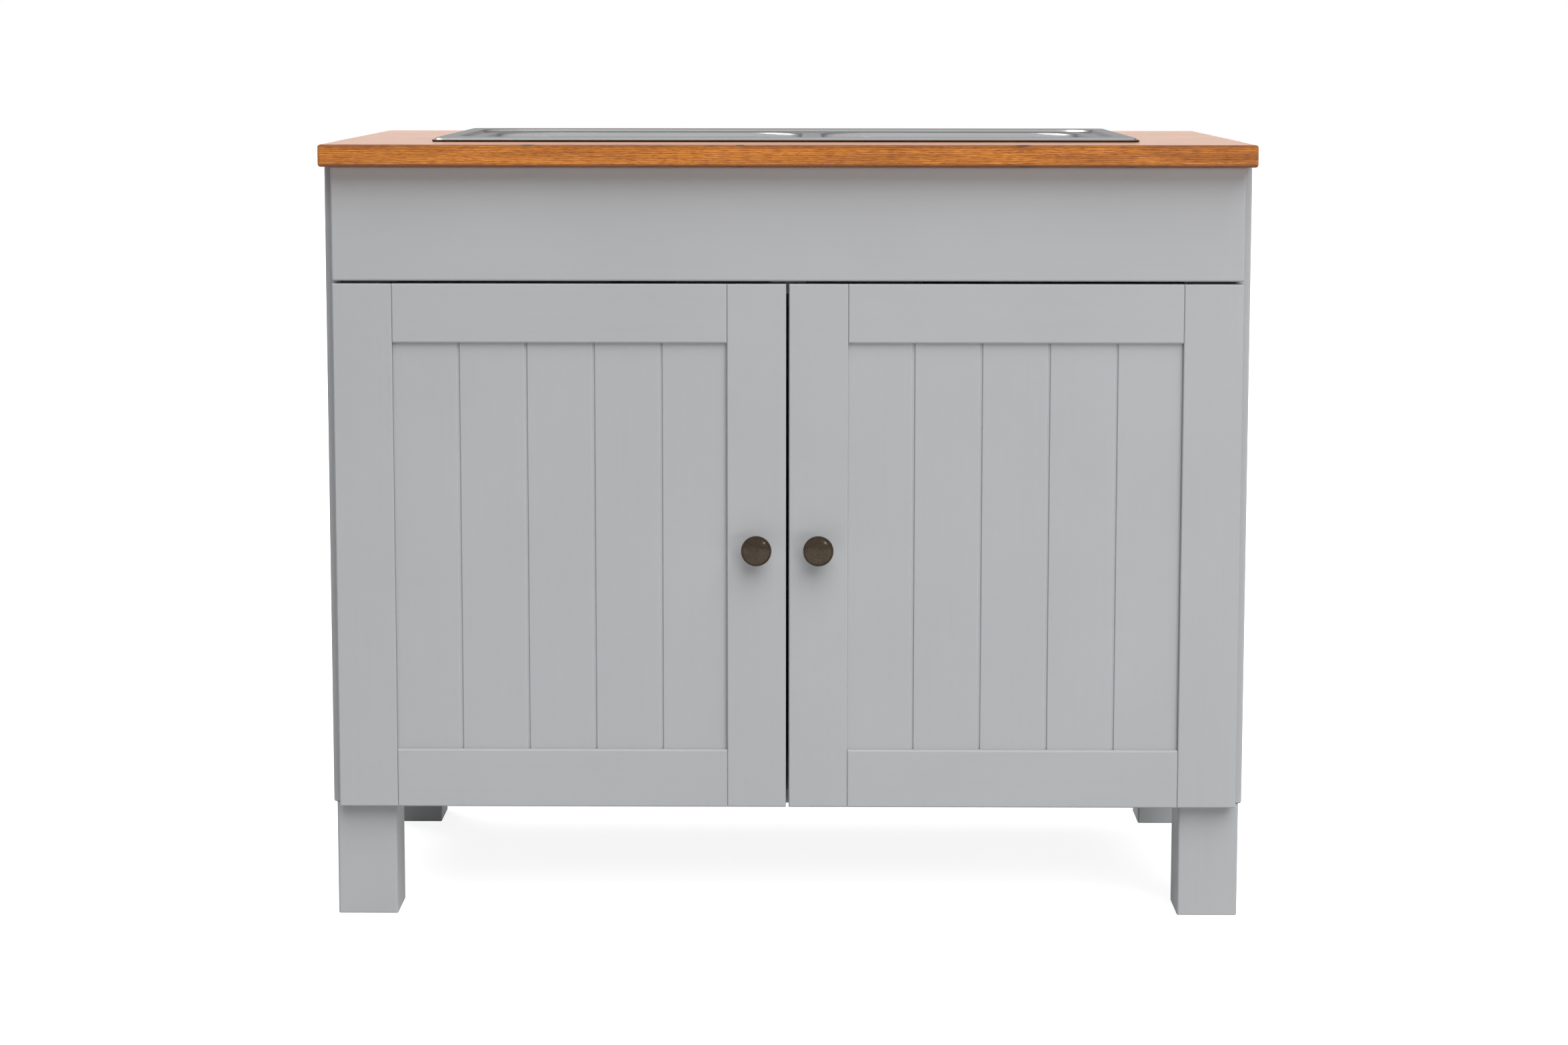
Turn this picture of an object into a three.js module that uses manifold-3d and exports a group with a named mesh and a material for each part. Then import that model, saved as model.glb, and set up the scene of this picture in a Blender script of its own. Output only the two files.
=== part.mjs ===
// A freestanding sink base cabinet: a painted carcass on four square legs, two framed doors with
// grooved panels on concealed single-pivot hinges, a plain fascia, a pine worktop, and an inset
// double-bowl sink with basket strainers. Millimetres, +Z up, front towards -Y. The origin lies on
// the floor under the middle of the whole object's box.
import * as THREE from "three";
import { mergeVertices } from "three/addons/utils/BufferGeometryUtils.js";
import Module from "manifold-3d";

// ---------------------------------------------------------------- driving dimensions

// Clearances
const seat = 0.2; // between faces that rest on each other
const slip = 0.25; // round a tongue, a panel edge or a cup in its housing
const pinPlay = 0.15; // radial, hinge pin in the arm's eye

// Worktop
const worktopWidth = 1000;
const worktopDepth = 600;
const worktopThick = 24;
const worktopEase = 3; // radius of its rounded edges

// Carcass, as wide as its worktop
const carcassDepth = 500;
const carcassHeight = 700;
const carcassSetback = 50; // worktop's front face to the front edges of the side panels
const sideThick = 18;
const sideEase = 2.5;
const baseThick = 15;
const backThick = 5;
const backInset = 15; // rear edges of the sides to the back panel
const backGroove = 6; // depth of the grooves that hold it
const serviceGap = 60; // open height above the back panel, for pipes and trap
const railThick = 18;
const frontRailHeight = 110;
const rearRailHeight = 80;

// Legs
const legSize = 66;
const legHeight = 126;
const legInset = 3.4; // side panel's outer face to the leg's outer face
const legEase = 3;
const boreSpare = 2; // depth of a blind bore past its bolt's or screw's end
const boltRadius = 4;
const boltLength = 45; // in the leg
const boltHeadRadius = 8;
const boltHeadHeight = 4;
const socketRadius = 2.8;

// Doors and fascia
const frontThick = 19;
const frontEase = 2.5;
const bumperGap = 3; // backs of the fronts to the carcass edges
const doorMargin = 9.5; // side panel's outer face to the door's hinged edge
const doorGap = 3; // between the two doors
const fasciaGap = 3; // above the doors
const fasciaHeight = 123;
const frameWidth = 64; // stiles and rails
const jointEase = 1.2; // rounding that draws the joint lines of the frame
const frameGroove = 9; // depth of the groove that holds the panel
const tongueShoulder = 8; // rail's outer edge to its tongue
const panelRecess = 5.5; // frame's front face to the panel's
const panelThick = 8;
const boardCount = 5; // boards that the grooves mark out
const boardPitch = 73;
const vGrooveWidth = 2.9;
const vGrooveDepth = 2;

// Knobs
const knobRadius = 16.8;
const knobProjection = 26;
const knobDomeRadius = 13;
const knobRimSetback = 2.6; // rim behind the crown of the dome
const knobGrooveWidth = 1.4; // between the dome and the rim
const knobGrooveDepth = 0.8;
const knobRimThick = 5;
const knobWaist = 9.4; // door to the thinnest part of the neck
const knobNeckRadius = 6;
const knobBaseRadius = 8.2;
const knobBaseThick = 2;
const knobScrewRadius = 2;
const knobScrewGrip = 12; // length in the knob

// Hinges, measured from the door's hinged edge and its back face
const hingeFromEnd = 90; // door's end to the hinge
const cupEdge = 3; // door's edge to the cup
const cupRadius = 17.5;
const cupDepth = 11.3;
const cupWall = 1;
const cupCorner = 1; // bevel round its floor
const cupFlangeThick = 1;
const cupFlangeLength = 54;
const cupFlangeWidth = 14;
const cupFlangeOffset = 1.75; // flange's middle to the cup's, towards the door's edge
const pivotInset = 7.5; // door's edge to the pin
const pivotDepth = 8; // door's back face to the pin
const pinRadius = 1.2;
const eyeRadius = 2.2;
const eyeWidth = 10;
const armThick = 2;
const armWidth = 15;
const armReach = 13.5; // pin to the arm's long leg
const armLength = 66; // behind the door's back face
const armWall = 1.2;
const armSetback = 3; // panel's front edge to the arm's channel
const armFootGap = 1.2; // plate to the foot of the channel
const armScrews = [19, 47]; // along the channel
const plateThick = 1.5;
const plateLength = 52; // along the side panel, upright
const plateWidth = 24;
const plateCorner = 6;
const plateScrewInset = 8;
const plateBlockLength = 41;
const plateFromEdge = 37; // panel's front edge to the plate's screws
const screwHeadRadius = 3.6;
const screwHeadHeight = 1.4;
const screwHeadSunk = 0.5; // let into what it holds

// Magnetic catch
const catchWidth = 40;
const catchDepth = 32;
const catchHeight = 28;
const catchEase = 1.5;
const magnetRecess = 1.2;
const poleThick = 1.6;
const poleInset = 1.7; // recess's lower and upper edges to the poles
const strikeWidth = 13;
const strikeHeight = 10;
const strikeThick = 1.5;
const strikeCorner = 1.5;
const strikeInset = 1; // door's inner edge to its strike
const strikeLift = 1.5; // catch's underside to the strikes
const strikeGap = 0.6; // strike to catch, doors shut

// Sink
const sinkFront = 100; // worktop's front face to the sink's front edge
const sinkShift = -3; // sink's middle, off the cabinet's
const sinkCorner = 14;
const steel = 1;
const rimHeight = 4.5;
const rimRoll = 5; // sink's edge to the flat of the rim
const rimSide = 27;
const rimFront = 50;
const rimRear = 53;
const recessDepth = 3;
const recessSlope = 4;
const recessCorner = 42;
const cutoutInset = 12; // sink's outline to the hole in the worktop
const leftBowlWidth = 356;
const rightBowlWidth = 298;
const bowlLength = 290; // front to rear
const bowlFromRecess = 18; // recess's front edge to the bowls
const bowlToRecess = 29; // bowls to the recess's rear edge
const bowlMargin = 21; // recess's ends to the bowls
const divider = 26;
const bowlDeep = 150;
const bowlCorner = 65;
const bowlEdge = 6; // radius where the deck turns down into a bowl
const bowlFillet = 18; // wall to floor
const bowlTaper = 3; // lean of its walls
const weldDepth = 3;
const sealWidth = 7;
const sealInset = 3;
const sealThick = 1.65;
const clipWidth = 16;
const clipThick = 2;
const clipReach = 18; // under the worktop
const clipHook = 4; // depth of the clip's tip
const clipEar = 1.2; // its upper edge, bent over

// Strainers
const dishRadius = 57;
const dishDepth = 3;
const drainRadius = 43;
const strainerCup = 45; // depth of the cup below its flange
const strainerWall = 2;
const outletRadius = 20;
const outletLength = 30;
const nutHeight = 12;
const nutRadius = 52;
const nutFlange = 3; // thickness of its upper edge, which stands out
const nutStep = 2; // how far
const lugCount = 6;
const lugWidth = 6;
const basketRadius = 35;
const basketDeep = 36;
const basketSet = 2; // bowl's dished floor to the basket's rim
const basketLip = 2.5;
const basketWall = 1;
const basketHoles = 8;
const basketHoleRadius = 2.4;
const gripRadius = 8.5;
const postRadius = 3;
const plugLip = 3.5; // plug's edge past the outlet's bore

// Facets round a full turn, and round the corner of a loft
const tiny = 8; // screw heads
const coarse = 10; // pins, bolts and their bores
const medium = 14; // hinge cups and baskets
const fine = 18; // knobs, strainers and their nuts
const cornerSteps = 4;

// ---------------------------------------------------------------- planes worked out from them

const carcassBottom = legHeight;
const carcassTop = carcassBottom + carcassHeight;
const worktopTop = carcassTop + worktopThick;
const carcassWidth = worktopWidth;
const carcassRear = carcassSetback + carcassDepth;
const frontBack = carcassSetback - bumperGap;
const frontFace = frontBack - frontThick;
const sideOuter = carcassWidth / 2;
const sideInner = sideOuter - sideThick;
const doorOuter = sideOuter - doorMargin;
const doorWidth = doorOuter - doorGap / 2;
const doorHeight = carcassHeight - fasciaHeight - fasciaGap;
const doorTop = carcassBottom + doorHeight;
const fasciaBottom = doorTop + fasciaGap;
const openingWidth = doorWidth - 2 * frameWidth;
const openingHeight = doorHeight - 2 * frameWidth;
const knobFromEdge = frameWidth / 2;
const baseTop = carcassBottom + baseThick;
const baseGroove = baseThick / 3; // depth of the back panel's groove in the base
const frontRailBottom = carcassTop - frontRailHeight;
const rearRailBottom = carcassTop - rearRailHeight;
const backPanelFront = carcassRear - backInset - backThick;
const backPanelBottom = baseTop - baseGroove + slip;
const backPanelTop = rearRailBottom - serviceGap;
const frontmost = Math.min(0, frontFace - seat - knobProjection);
const middleDepth = (frontmost + worktopDepth) / 2;

const rimTop = worktopTop + rimHeight;
const recessFloor = rimTop - recessDepth;
const bowlTop = recessFloor - bowlEdge - weldDepth - seat;
const bowlFloor = recessFloor - bowlDeep;
const bowlFront = sinkFront + rimFront + bowlFromRecess;
const bowlRowWidth = leftBowlWidth + divider + rightBowlWidth;
const sinkWidth = bowlRowWidth + 2 * (bowlMargin + rimSide);
const sinkDepth = rimFront + bowlFromRecess + bowlLength + bowlToRecess + rimRear;

const strikeCentre = doorGap / 2 + strikeInset + strikeWidth / 2;
const strikeBottom = frontRailBottom - catchHeight + strikeLift;

// ---------------------------------------------------------------- geometry kit

const wasm = await Module();
wasm.setup();

// A closed geometry as a solid that can be joined and cut.
function solid(geometry) {
  const loose = geometry.index ? geometry.toNonIndexed() : geometry;
  const bare = new THREE.BufferGeometry();
  bare.setAttribute("position", loose.getAttribute("position").clone());
  const merged = mergeVertices(bare, 1e-3);
  return new wasm.Manifold(
    new wasm.Mesh({
      numProp: 3,
      vertProperties: merged.attributes.position.array,
      triVerts: new Uint32Array(merged.index.array),
    }),
  );
}

function geometryOf(body) {
  const mesh = body.getMesh();
  const geometry = new THREE.BufferGeometry();
  geometry.setAttribute("position", new THREE.BufferAttribute(mesh.vertProperties, 3));
  geometry.setIndex(new THREE.BufferAttribute(mesh.triVerts, 1));
  return geometry;
}

function join(first, ...others) {
  return geometryOf(others.reduce((body, next) => body.add(solid(next)), solid(first)));
}

function cut(piece, ...tools) {
  return geometryOf(tools.reduce((body, tool) => body.subtract(solid(tool)), solid(piece)));
}

function common(first, second) {
  return geometryOf(solid(first).intersect(solid(second)));
}

// Turns a piece so that its Z lies along X (and X along Y, Y along Z).
const Z_TO_X = new THREE.Matrix4().set(0, 0, 1, 0, 1, 0, 0, 0, 0, 1, 0, 0, 0, 0, 0, 1);
// Turns a piece so that its Y lies along Z, as a turned piece stands upright.
const Y_TO_Z = Z_TO_X;
// Turns a piece so that its Z lies along Y (and X along Z, Y along X).
const Z_TO_Y = new THREE.Matrix4().set(0, 1, 0, 0, 0, 0, 1, 0, 1, 0, 0, 0, 0, 0, 0, 1);
// Turns a piece so that its Y lies along X (and X along -Y).
const Y_TO_X = new THREE.Matrix4().set(0, 1, 0, 0, -1, 0, 0, 0, 0, 0, 1, 0, 0, 0, 0, 1);
// Stands a flat piece up: its Y lies along Z, and its Z along -Y.
const STOOD_UP = new THREE.Matrix4().set(1, 0, 0, 0, 0, 0, -1, 0, 0, 1, 0, 0, 0, 0, 0, 1);

// A profile drawn in XY and run up Z from 0 to length, with its end edges eased.
function run(shape, length, ease = 0, segments = 1) {
  const geometry = new THREE.ExtrudeGeometry(shape, {
    depth: length - 2 * ease,
    curveSegments: segments,
    bevelEnabled: ease > 0,
    bevelThickness: ease,
    bevelSize: ease,
    bevelOffset: -ease,
    bevelSegments: 2,
  });
  return geometry.translate(0, 0, ease);
}

function runAlongX(shape, length, ease = 0, segments = 1) {
  return run(shape, length, ease, segments)
    .translate(0, 0, -length / 2)
    .applyMatrix4(Z_TO_X);
}

// Points round a rectangle with round corners, counter-clockwise from its front right corner.
function roundedPoints(box, outset, radius, perCorner) {
  const r = Math.max(radius + outset, 0.3);
  const x0 = box.x0 - outset + r;
  const x1 = box.x1 + outset - r;
  const y0 = box.y0 - outset + r;
  const y1 = box.y1 + outset - r;
  const centres = [[x1, y0], [x1, y1], [x0, y1], [x0, y0]];
  const points = [];
  centres.forEach(([cx, cy], corner) => {
    for (let i = 0; i <= perCorner; i += 1) {
      const angle = ((corner - 1) * Math.PI) / 2 + (i * Math.PI) / 2 / perCorner;
      points.push(new THREE.Vector2(cx + r * Math.cos(angle), cy + r * Math.sin(angle)));
    }
  });
  return points;
}

function roundedShape(box, radius, perCorner = 2) {
  return new THREE.Shape(roundedPoints(box, 0, radius, perCorner));
}

function centredBox(width, depth) {
  return { x0: -width / 2, x1: width / 2, y0: -depth / 2, y1: depth / 2 };
}

// Radius of the corners of an eased piece, a touch over its bevel so that none closes to a point.
function cornerFor(ease) {
  return ease * 1.05;
}

// A board with all its edges eased: centred in X and Y, its underside at z = 0.
function easedBoard(width, depth, height, ease) {
  return run(roundedShape(centredBox(width, depth), cornerFor(ease)), height, ease);
}

function squareBoard(width, depth, height) {
  return new THREE.BoxGeometry(width, depth, height).translate(0, 0, height / 2);
}

// A round bar along Y, centred on the origin.
function barAlongY(radius, length, segments = coarse) {
  return new THREE.CylinderGeometry(radius, radius, length, segments);
}

function barAlongZ(radius, length, segments = coarse) {
  return barAlongY(radius, length, segments).applyMatrix4(Y_TO_Z);
}

// A piece turned about Y from a closed profile of [radius, y] points.
function turned(points, segments = fine) {
  const profile = points.map(([r, y]) => new THREE.Vector2(r, y));
  return new THREE.LatheGeometry(profile, segments);
}

// A piece lofted through rounded rectangles. Each level holds a box, an outset, a corner radius and
// a height, outside first; an open stack is capped at both ends and a closed one is a ring.
function loft(levels, { perCorner = cornerSteps, ring = false } = {}) {
  const loops = levels.map(({ box, outset = 0, radius, z }) =>
    roundedPoints(box, outset, radius, perCorner).map((p) => [p.x, p.y, z]),
  );
  const count = loops[0].length;
  const positions = loops.flat(2);
  const index = [];
  const spans = ring ? loops.length : loops.length - 1;
  for (let i = 0; i < spans; i += 1) {
    const low = i * count;
    const high = ((i + 1) % loops.length) * count;
    for (let j = 0; j < count; j += 1) {
      const k = (j + 1) % count;
      index.push(low + j, low + k, high + k, low + j, high + k, high + j);
    }
  }
  if (!ring) {
    const last = (loops.length - 1) * count;
    for (let j = 1; j < count - 1; j += 1) {
      index.push(0, j + 1, j, last, last + j, last + j + 1);
    }
  }
  const geometry = new THREE.BufferGeometry();
  geometry.setAttribute("position", new THREE.Float32BufferAttribute(positions, 3));
  geometry.setIndex(index);
  return geometry;
}

// ---------------------------------------------------------------- finishes

const FINISHES = {
  paint: [0xb0b3b3, 0.45, 0],
  carcassBoard: [0xc9c9c6, 0.6, 0],
  hardboard: [0x8d7a63, 0.8, 0],
  pine: [0xc07a35, 0.45, 0],
  steel: [0xb9bbbc, 0.28, 1],
  zinc: [0xc4c7c9, 0.35, 1],
  bronze: [0x4a3d2e, 0.4, 1],
  plastic: [0xb4b6b4, 0.5, 0],
  rubber: [0x1d1d1d, 0.85, 0],
};

const assembly = new THREE.Group();
assembly.position.y = -middleDepth;

// One named piece, in its place. Places are measured from the cabinet's middle, the worktop's
// front face and the floor.
function place(name, geometry, finish, [x, y, z], parent = assembly) {
  const [color, roughness, metalness] = FINISHES[finish];
  const shown = geometry.index ? geometry.toNonIndexed() : geometry;
  shown.computeVertexNormals();
  const mesh = new THREE.Mesh(
    shown,
    new THREE.MeshStandardMaterial({ color, roughness, metalness }),
  );
  mesh.name = name;
  mesh.position.set(x, y, z);
  parent.add(mesh);
  return mesh;
}

// ---------------------------------------------------------------- carcass

// A left side panel, seen in plan: rounded front edges and the back panel's groove.
function sidePanel() {
  const plan = new THREE.Shape();
  const corner = cornerFor(sideEase);
  const grooveFront = carcassDepth - backInset - backThick - slip;
  const grooveRear = carcassDepth - backInset + slip;
  const bottom = sideThick - backGroove;
  plan.moveTo(0, corner);
  plan.absarc(corner, corner, corner, Math.PI, 1.5 * Math.PI);
  plan.lineTo(sideThick - corner, 0);
  plan.absarc(sideThick - corner, corner, corner, -0.5 * Math.PI, 0);
  plan.lineTo(sideThick, grooveFront);
  plan.lineTo(bottom, grooveFront);
  plan.lineTo(bottom, grooveRear);
  plan.lineTo(sideThick, grooveRear);
  plan.lineTo(sideThick, carcassDepth - corner);
  plan.absarc(sideThick - corner, carcassDepth - corner, corner, 0, 0.5 * Math.PI);
  plan.lineTo(corner, carcassDepth);
  plan.absarc(corner, carcassDepth - corner, corner, 0.5 * Math.PI, Math.PI);
  return run(plan, carcassHeight - seat, sideEase);
}

const legCentreX = sideOuter - legInset - legSize / 2;
const legCentresY = {
  front: carcassSetback + legSize / 2,
  rear: carcassRear - legSize / 2,
};

// The base lies between the sides, drilled for the leg bolts and grooved for the back panel.
function basePanel() {
  const width = 2 * (sideInner - seat);
  const board = squareBoard(width, carcassDepth, baseThick);
  const groove = squareBoard(width + 1, backThick + 2 * slip, baseThick).translate(
    0,
    backPanelFront + backThick / 2 - carcassSetback - carcassDepth / 2,
    baseThick - baseGroove,
  );
  const holes = [-1, 1].flatMap((sign) =>
    Object.values(legCentresY).map((y) =>
      barAlongZ(boltRadius + slip, 3 * baseThick).translate(
        sign * legCentreX,
        y - carcassSetback - carcassDepth / 2,
        0,
      ),
    ),
  );
  return cut(board, groove, ...holes);
}

function backPanel() {
  const width = 2 * (sideInner + backGroove - slip);
  return squareBoard(width, backThick, backPanelTop - backPanelBottom);
}

function carcass() {
  const middle = carcassSetback + carcassDepth / 2;
  const railWidth = 2 * (sideInner - seat);
  place("base_panel", basePanel(), "carcassBoard", [0, middle, carcassBottom]);
  place("back_panel", backPanel(), "hardboard", [
    0,
    backPanelFront + backThick / 2,
    backPanelBottom,
  ]);
  place("front_rail", squareBoard(railWidth, railThick, frontRailHeight - seat), "carcassBoard", [
    0,
    frontBack + seat + railThick / 2,
    frontRailBottom,
  ]);
  place("rear_rail", squareBoard(railWidth, railThick, rearRailHeight - seat), "carcassBoard", [
    0,
    carcassRear - railThick / 2,
    rearRailBottom,
  ]);
  place("fascia", easedBoard(2 * doorOuter, frontThick, fasciaHeight - seat, frontEase), "paint", [
    0,
    frontFace + frontThick / 2,
    fasciaBottom,
  ]);
}

// ---------------------------------------------------------------- legs

// A square leg, bored from above for its bolt.
function leg() {
  const post = easedBoard(legSize, legSize, legHeight - seat, legEase);
  const bore = barAlongZ(boltRadius + slip, 2 * (boltLength + boreSpare));
  return cut(post, bore.translate(0, 0, legHeight));
}

// A bolt with a low domed head and a hexagon socket, its head's underside at z = 0.
function legBolt() {
  const rim = boltHeadHeight * 0.45;
  const shank = -(baseThick + boltLength);
  const body = turned(
    [
      [0, shank],
      [boltRadius - 1, shank],
      [boltRadius, shank + 1],
      [boltRadius, 0],
      [boltHeadRadius, 0],
      [boltHeadRadius, rim],
      [boltHeadRadius * 0.8, boltHeadHeight * 0.85],
      [boltHeadRadius * 0.5, boltHeadHeight],
      [0, boltHeadHeight],
    ],
    coarse,
  ).applyMatrix4(Y_TO_Z);
  const socket = barAlongZ(socketRadius, boltHeadHeight, 6).translate(0, 0, boltHeadHeight);
  return cut(body, socket);
}

// ---------------------------------------------------------------- doors

// A frame member in section: x from its outer edge to the grooved edge, y from front to back.
function memberSection() {
  const section = new THREE.Shape();
  const w = frameWidth;
  const e = jointEase;
  const front = panelRecess - slip;
  const back = panelRecess + panelThick + slip;
  section.moveTo(0, 0);
  section.lineTo(w - e, 0);
  section.absarc(w - e, e, e, -0.5 * Math.PI, 0);
  section.lineTo(w, front);
  section.lineTo(w - frameGroove, front);
  section.lineTo(w - frameGroove, back);
  section.lineTo(w, back);
  section.lineTo(w, frontThick - e);
  section.absarc(w - e, frontThick - e, e, 0, 0.5 * Math.PI);
  section.lineTo(0, frontThick);
  return section;
}

// The whole door as one eased board, which rounds the outer edges of the frame: its corner at the
// hinged edge, front face and foot is the origin.
function doorBlank() {
  return easedBoard(doorWidth, frontThick, doorHeight, frontEase).translate(
    doorWidth / 2,
    frontThick / 2,
    0,
  );
}

function outerStile() {
  const stile = common(run(memberSection(), doorHeight), doorBlank());
  const cups = hingeHeights().map((z) =>
    barAlongY(cupRadius + slip, 2 * (cupDepth + slip), medium).translate(
      cupEdge + cupRadius,
      frontThick,
      z,
    ),
  );
  return cut(stile, ...cups);
}

function innerStile() {
  const upright = run(memberSection(), doorHeight);
  const mirrored = solid(upright).mirror([1, 0, 0]).translate([doorWidth, 0, 0]);
  const stile = common(geometryOf(mirrored), doorBlank());
  const bore = barAlongY(knobScrewRadius + slip, 4 * frontThick).translate(
    doorWidth - knobFromEdge,
    0,
    doorHeight / 2,
  );
  return cut(stile, bore);
}

// A rail and its two tongues, which sit in the grooves of the stiles.
function bottomRail() {
  const shoulder = openingWidth - 2 * slip;
  const section = runAlongX(swapped(memberSection()), shoulder, jointEase * 0.8);
  const tongueHeight = frameWidth - frameGroove - tongueShoulder;
  const tongue = squareBoard(
    openingWidth + 2 * (frameGroove - slip),
    panelThick,
    tongueHeight,
  ).translate(0, panelRecess + panelThick / 2, tongueShoulder);
  return common(join(section, tongue).translate(doorWidth / 2, 0, 0), doorBlank());
}

// The member's section with its width drawn along Y: as run along X, that becomes its height.
function swapped(shape) {
  const points = shape.getPoints(1).map((p) => new THREE.Vector2(p.y, p.x));
  return new THREE.Shape(points.reverse());
}

function topRail() {
  const upright = solid(bottomRail()).mirror([0, 0, 1]).translate([0, 0, doorHeight]);
  return geometryOf(upright);
}

// The grooved panel, seen in plan and run upright.
function doorPanel() {
  const width = openingWidth + 2 * (frameGroove - 2 * slip);
  const height = openingHeight + 2 * (frameGroove - 2 * slip);
  const plan = new THREE.Shape();
  plan.moveTo(-width / 2, 0);
  for (let i = 0; i < boardCount - 1; i += 1) {
    const x = (i - (boardCount - 2) / 2) * boardPitch;
    plan.lineTo(x - vGrooveWidth / 2, 0);
    plan.lineTo(x - vGrooveWidth / 6, vGrooveDepth);
    plan.lineTo(x + vGrooveWidth / 6, vGrooveDepth);
    plan.lineTo(x + vGrooveWidth / 2, 0);
  }
  plan.lineTo(width / 2, 0);
  plan.lineTo(width / 2, panelThick);
  plan.lineTo(-width / 2, panelThick);
  return run(plan, height);
}

// A turned knob with a rolled rim, a shallow groove and a low dome, standing out towards -Y.
function knob() {
  const crown = -knobProjection;
  const rim = crown + knobRimSetback;
  const rimBack = rim + 1.5 * knobRimThick;
  const rimInner = knobDomeRadius + knobGrooveWidth;
  const shoulder = (knobRadius + knobNeckRadius) / 2;
  const bore = knobScrewRadius + slip;
  const boreEnd = -knobScrewGrip - boreSpare;
  const outline = new THREE.Path();
  outline.moveTo(0, crown);
  outline.quadraticCurveTo(knobDomeRadius * 0.65, crown, knobDomeRadius, rim);
  outline.lineTo(knobDomeRadius + knobGrooveWidth / 2, rim + knobGrooveDepth);
  outline.lineTo(rimInner, rim);
  outline.quadraticCurveTo(knobRadius, rim, knobRadius, rim + knobRimThick * 0.4);
  outline.quadraticCurveTo(knobRadius, rim + knobRimThick, shoulder, rimBack);
  outline.quadraticCurveTo(knobNeckRadius, rimBack + knobRimThick * 0.7, knobNeckRadius, -knobWaist);
  outline.quadraticCurveTo(knobNeckRadius, -1.5 * knobBaseThick, knobBaseRadius, -knobBaseThick);
  outline.lineTo(knobBaseRadius, 0);
  outline.lineTo(bore, 0);
  outline.lineTo(bore, boreEnd);
  outline.lineTo(0, boreEnd);
  return turned(outline.getPoints(2).map((p) => [p.x, p.y]));
}

// The knob's screw, along Y: its head bears on the door's back at y = 0.
function knobScrew() {
  const head = screwHeadRadius;
  const end = -(frontThick + knobScrewGrip);
  return turned(
    [
      [0, end],
      [knobScrewRadius - 0.6, end],
      [knobScrewRadius, end + 0.8],
      [knobScrewRadius, 0],
      [head, 0],
      [head, screwHeadHeight * 0.5],
      [head * 0.55, screwHeadHeight],
      [0, screwHeadHeight],
    ],
    coarse,
  );
}

// ---------------------------------------------------------------- hinges
// Drawn about the pin: +x runs away from the door's hinged edge, +y towards the back.

function hingeHeights() {
  return [hingeFromEnd, doorHeight - hingeFromEnd];
}

const cupCentre = cupEdge + cupRadius - pivotInset;
const panelFace = sideThick - doorMargin - pivotInset; // side panel's inner face

// A screw's pan head, standing on y = 0 and let in a little below it.
function screwHead() {
  return turned(
    [
      [0, -screwHeadSunk],
      [screwHeadRadius, -screwHeadSunk],
      [screwHeadRadius, screwHeadHeight * 0.4],
      [screwHeadRadius * 0.6, screwHeadHeight],
      [0, screwHeadHeight],
    ],
    tiny,
  );
}

// The cup sunk in the door, with its flange on the door's back, two screws and the pivot pin.
function hingeCup() {
  const mouth = pivotDepth;
  const floor = mouth - cupDepth;
  const lip = mouth + seat + cupFlangeThick;
  const cup = turned(
    [
      [0, floor],
      [cupRadius - cupCorner, floor],
      [cupRadius, floor + cupCorner],
      [cupRadius, lip],
      [cupRadius - cupWall, lip],
      [cupRadius - cupWall, floor + cupWall + cupCorner],
      [cupRadius - cupWall - cupCorner, floor + cupWall],
      [0, floor + cupWall],
    ],
    medium,
  ).translate(cupCentre, 0, 0);
  const flangeX = cupCentre - cupFlangeOffset;
  const half = cupFlangeLength / 2;
  const wide = cupFlangeWidth / 2;
  const wings = { x0: flangeX - wide, x1: flangeX + wide, y0: -half, y1: half };
  const flange = run(roundedShape(wings, wide * 0.9), cupFlangeThick)
    .applyMatrix4(STOOD_UP)
    .translate(0, lip, 0);
  const inner = barAlongY(cupRadius - cupWall, 4 * cupFlangeThick, medium).translate(
    cupCentre,
    lip,
    0,
  );
  const heads = [-1, 1].map((sign) =>
    screwHead().translate(flangeX, lip, sign * (half - wide)),
  );
  const halfChord = Math.sqrt((cupRadius - cupWall / 2) ** 2 - (cupCentre + pinRadius) ** 2);
  const pin = barAlongZ(pinRadius, 2 * halfChord);
  return join(cup, cut(flange, inner), ...heads, pin);
}

// The goose-neck arm: an eye on the pin, a neck out of the cup, and a channel along the panel.
function hingeArm() {
  const t = armThick / 2;
  const bend = armThick * 1.6;
  const end = pivotDepth + armLength;
  const x = armReach;
  const strip = new THREE.Shape();
  strip.moveTo(0, -t);
  strip.lineTo(x + t - bend, -t);
  strip.absarc(x + t - bend, -t + bend, bend, -0.5 * Math.PI, 0);
  strip.lineTo(x + t, end);
  strip.lineTo(x - t, end);
  strip.lineTo(x - t, -t + bend);
  strip.absarc(x + t - bend, -t + bend, bend - armThick, 0, -0.5 * Math.PI, true);
  strip.lineTo(0, t);
  const neck = run(strip, eyeWidth, 0, 2).translate(0, 0, -eyeWidth / 2);
  const eye = barAlongZ(eyeRadius, eyeWidth);
  const bore = barAlongZ(pinRadius + pinPlay, 2 * eyeWidth);
  const start = pivotDepth + bumperGap + armSetback;
  const foot = panelFace + plateThick + armFootGap;
  const channel = squareBoard(x + t - foot, end - start, armWidth).translate(
    (x + t + foot) / 2,
    (start + end) / 2,
    -armWidth / 2,
  );
  const hollow = squareBoard(x - t - foot + 1, end - start + 1, armWidth - 2 * armWall).translate(
    (x - t + foot - 1) / 2,
    (start + end) / 2,
    armWall - armWidth / 2,
  );
  const screws = armScrews.map((along) =>
    screwHead()
      .applyMatrix4(Y_TO_X)
      .translate(x + t, start + along, 0),
  );
  return cut(join(neck, eye, cut(channel, hollow), ...screws), bore);
}

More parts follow.
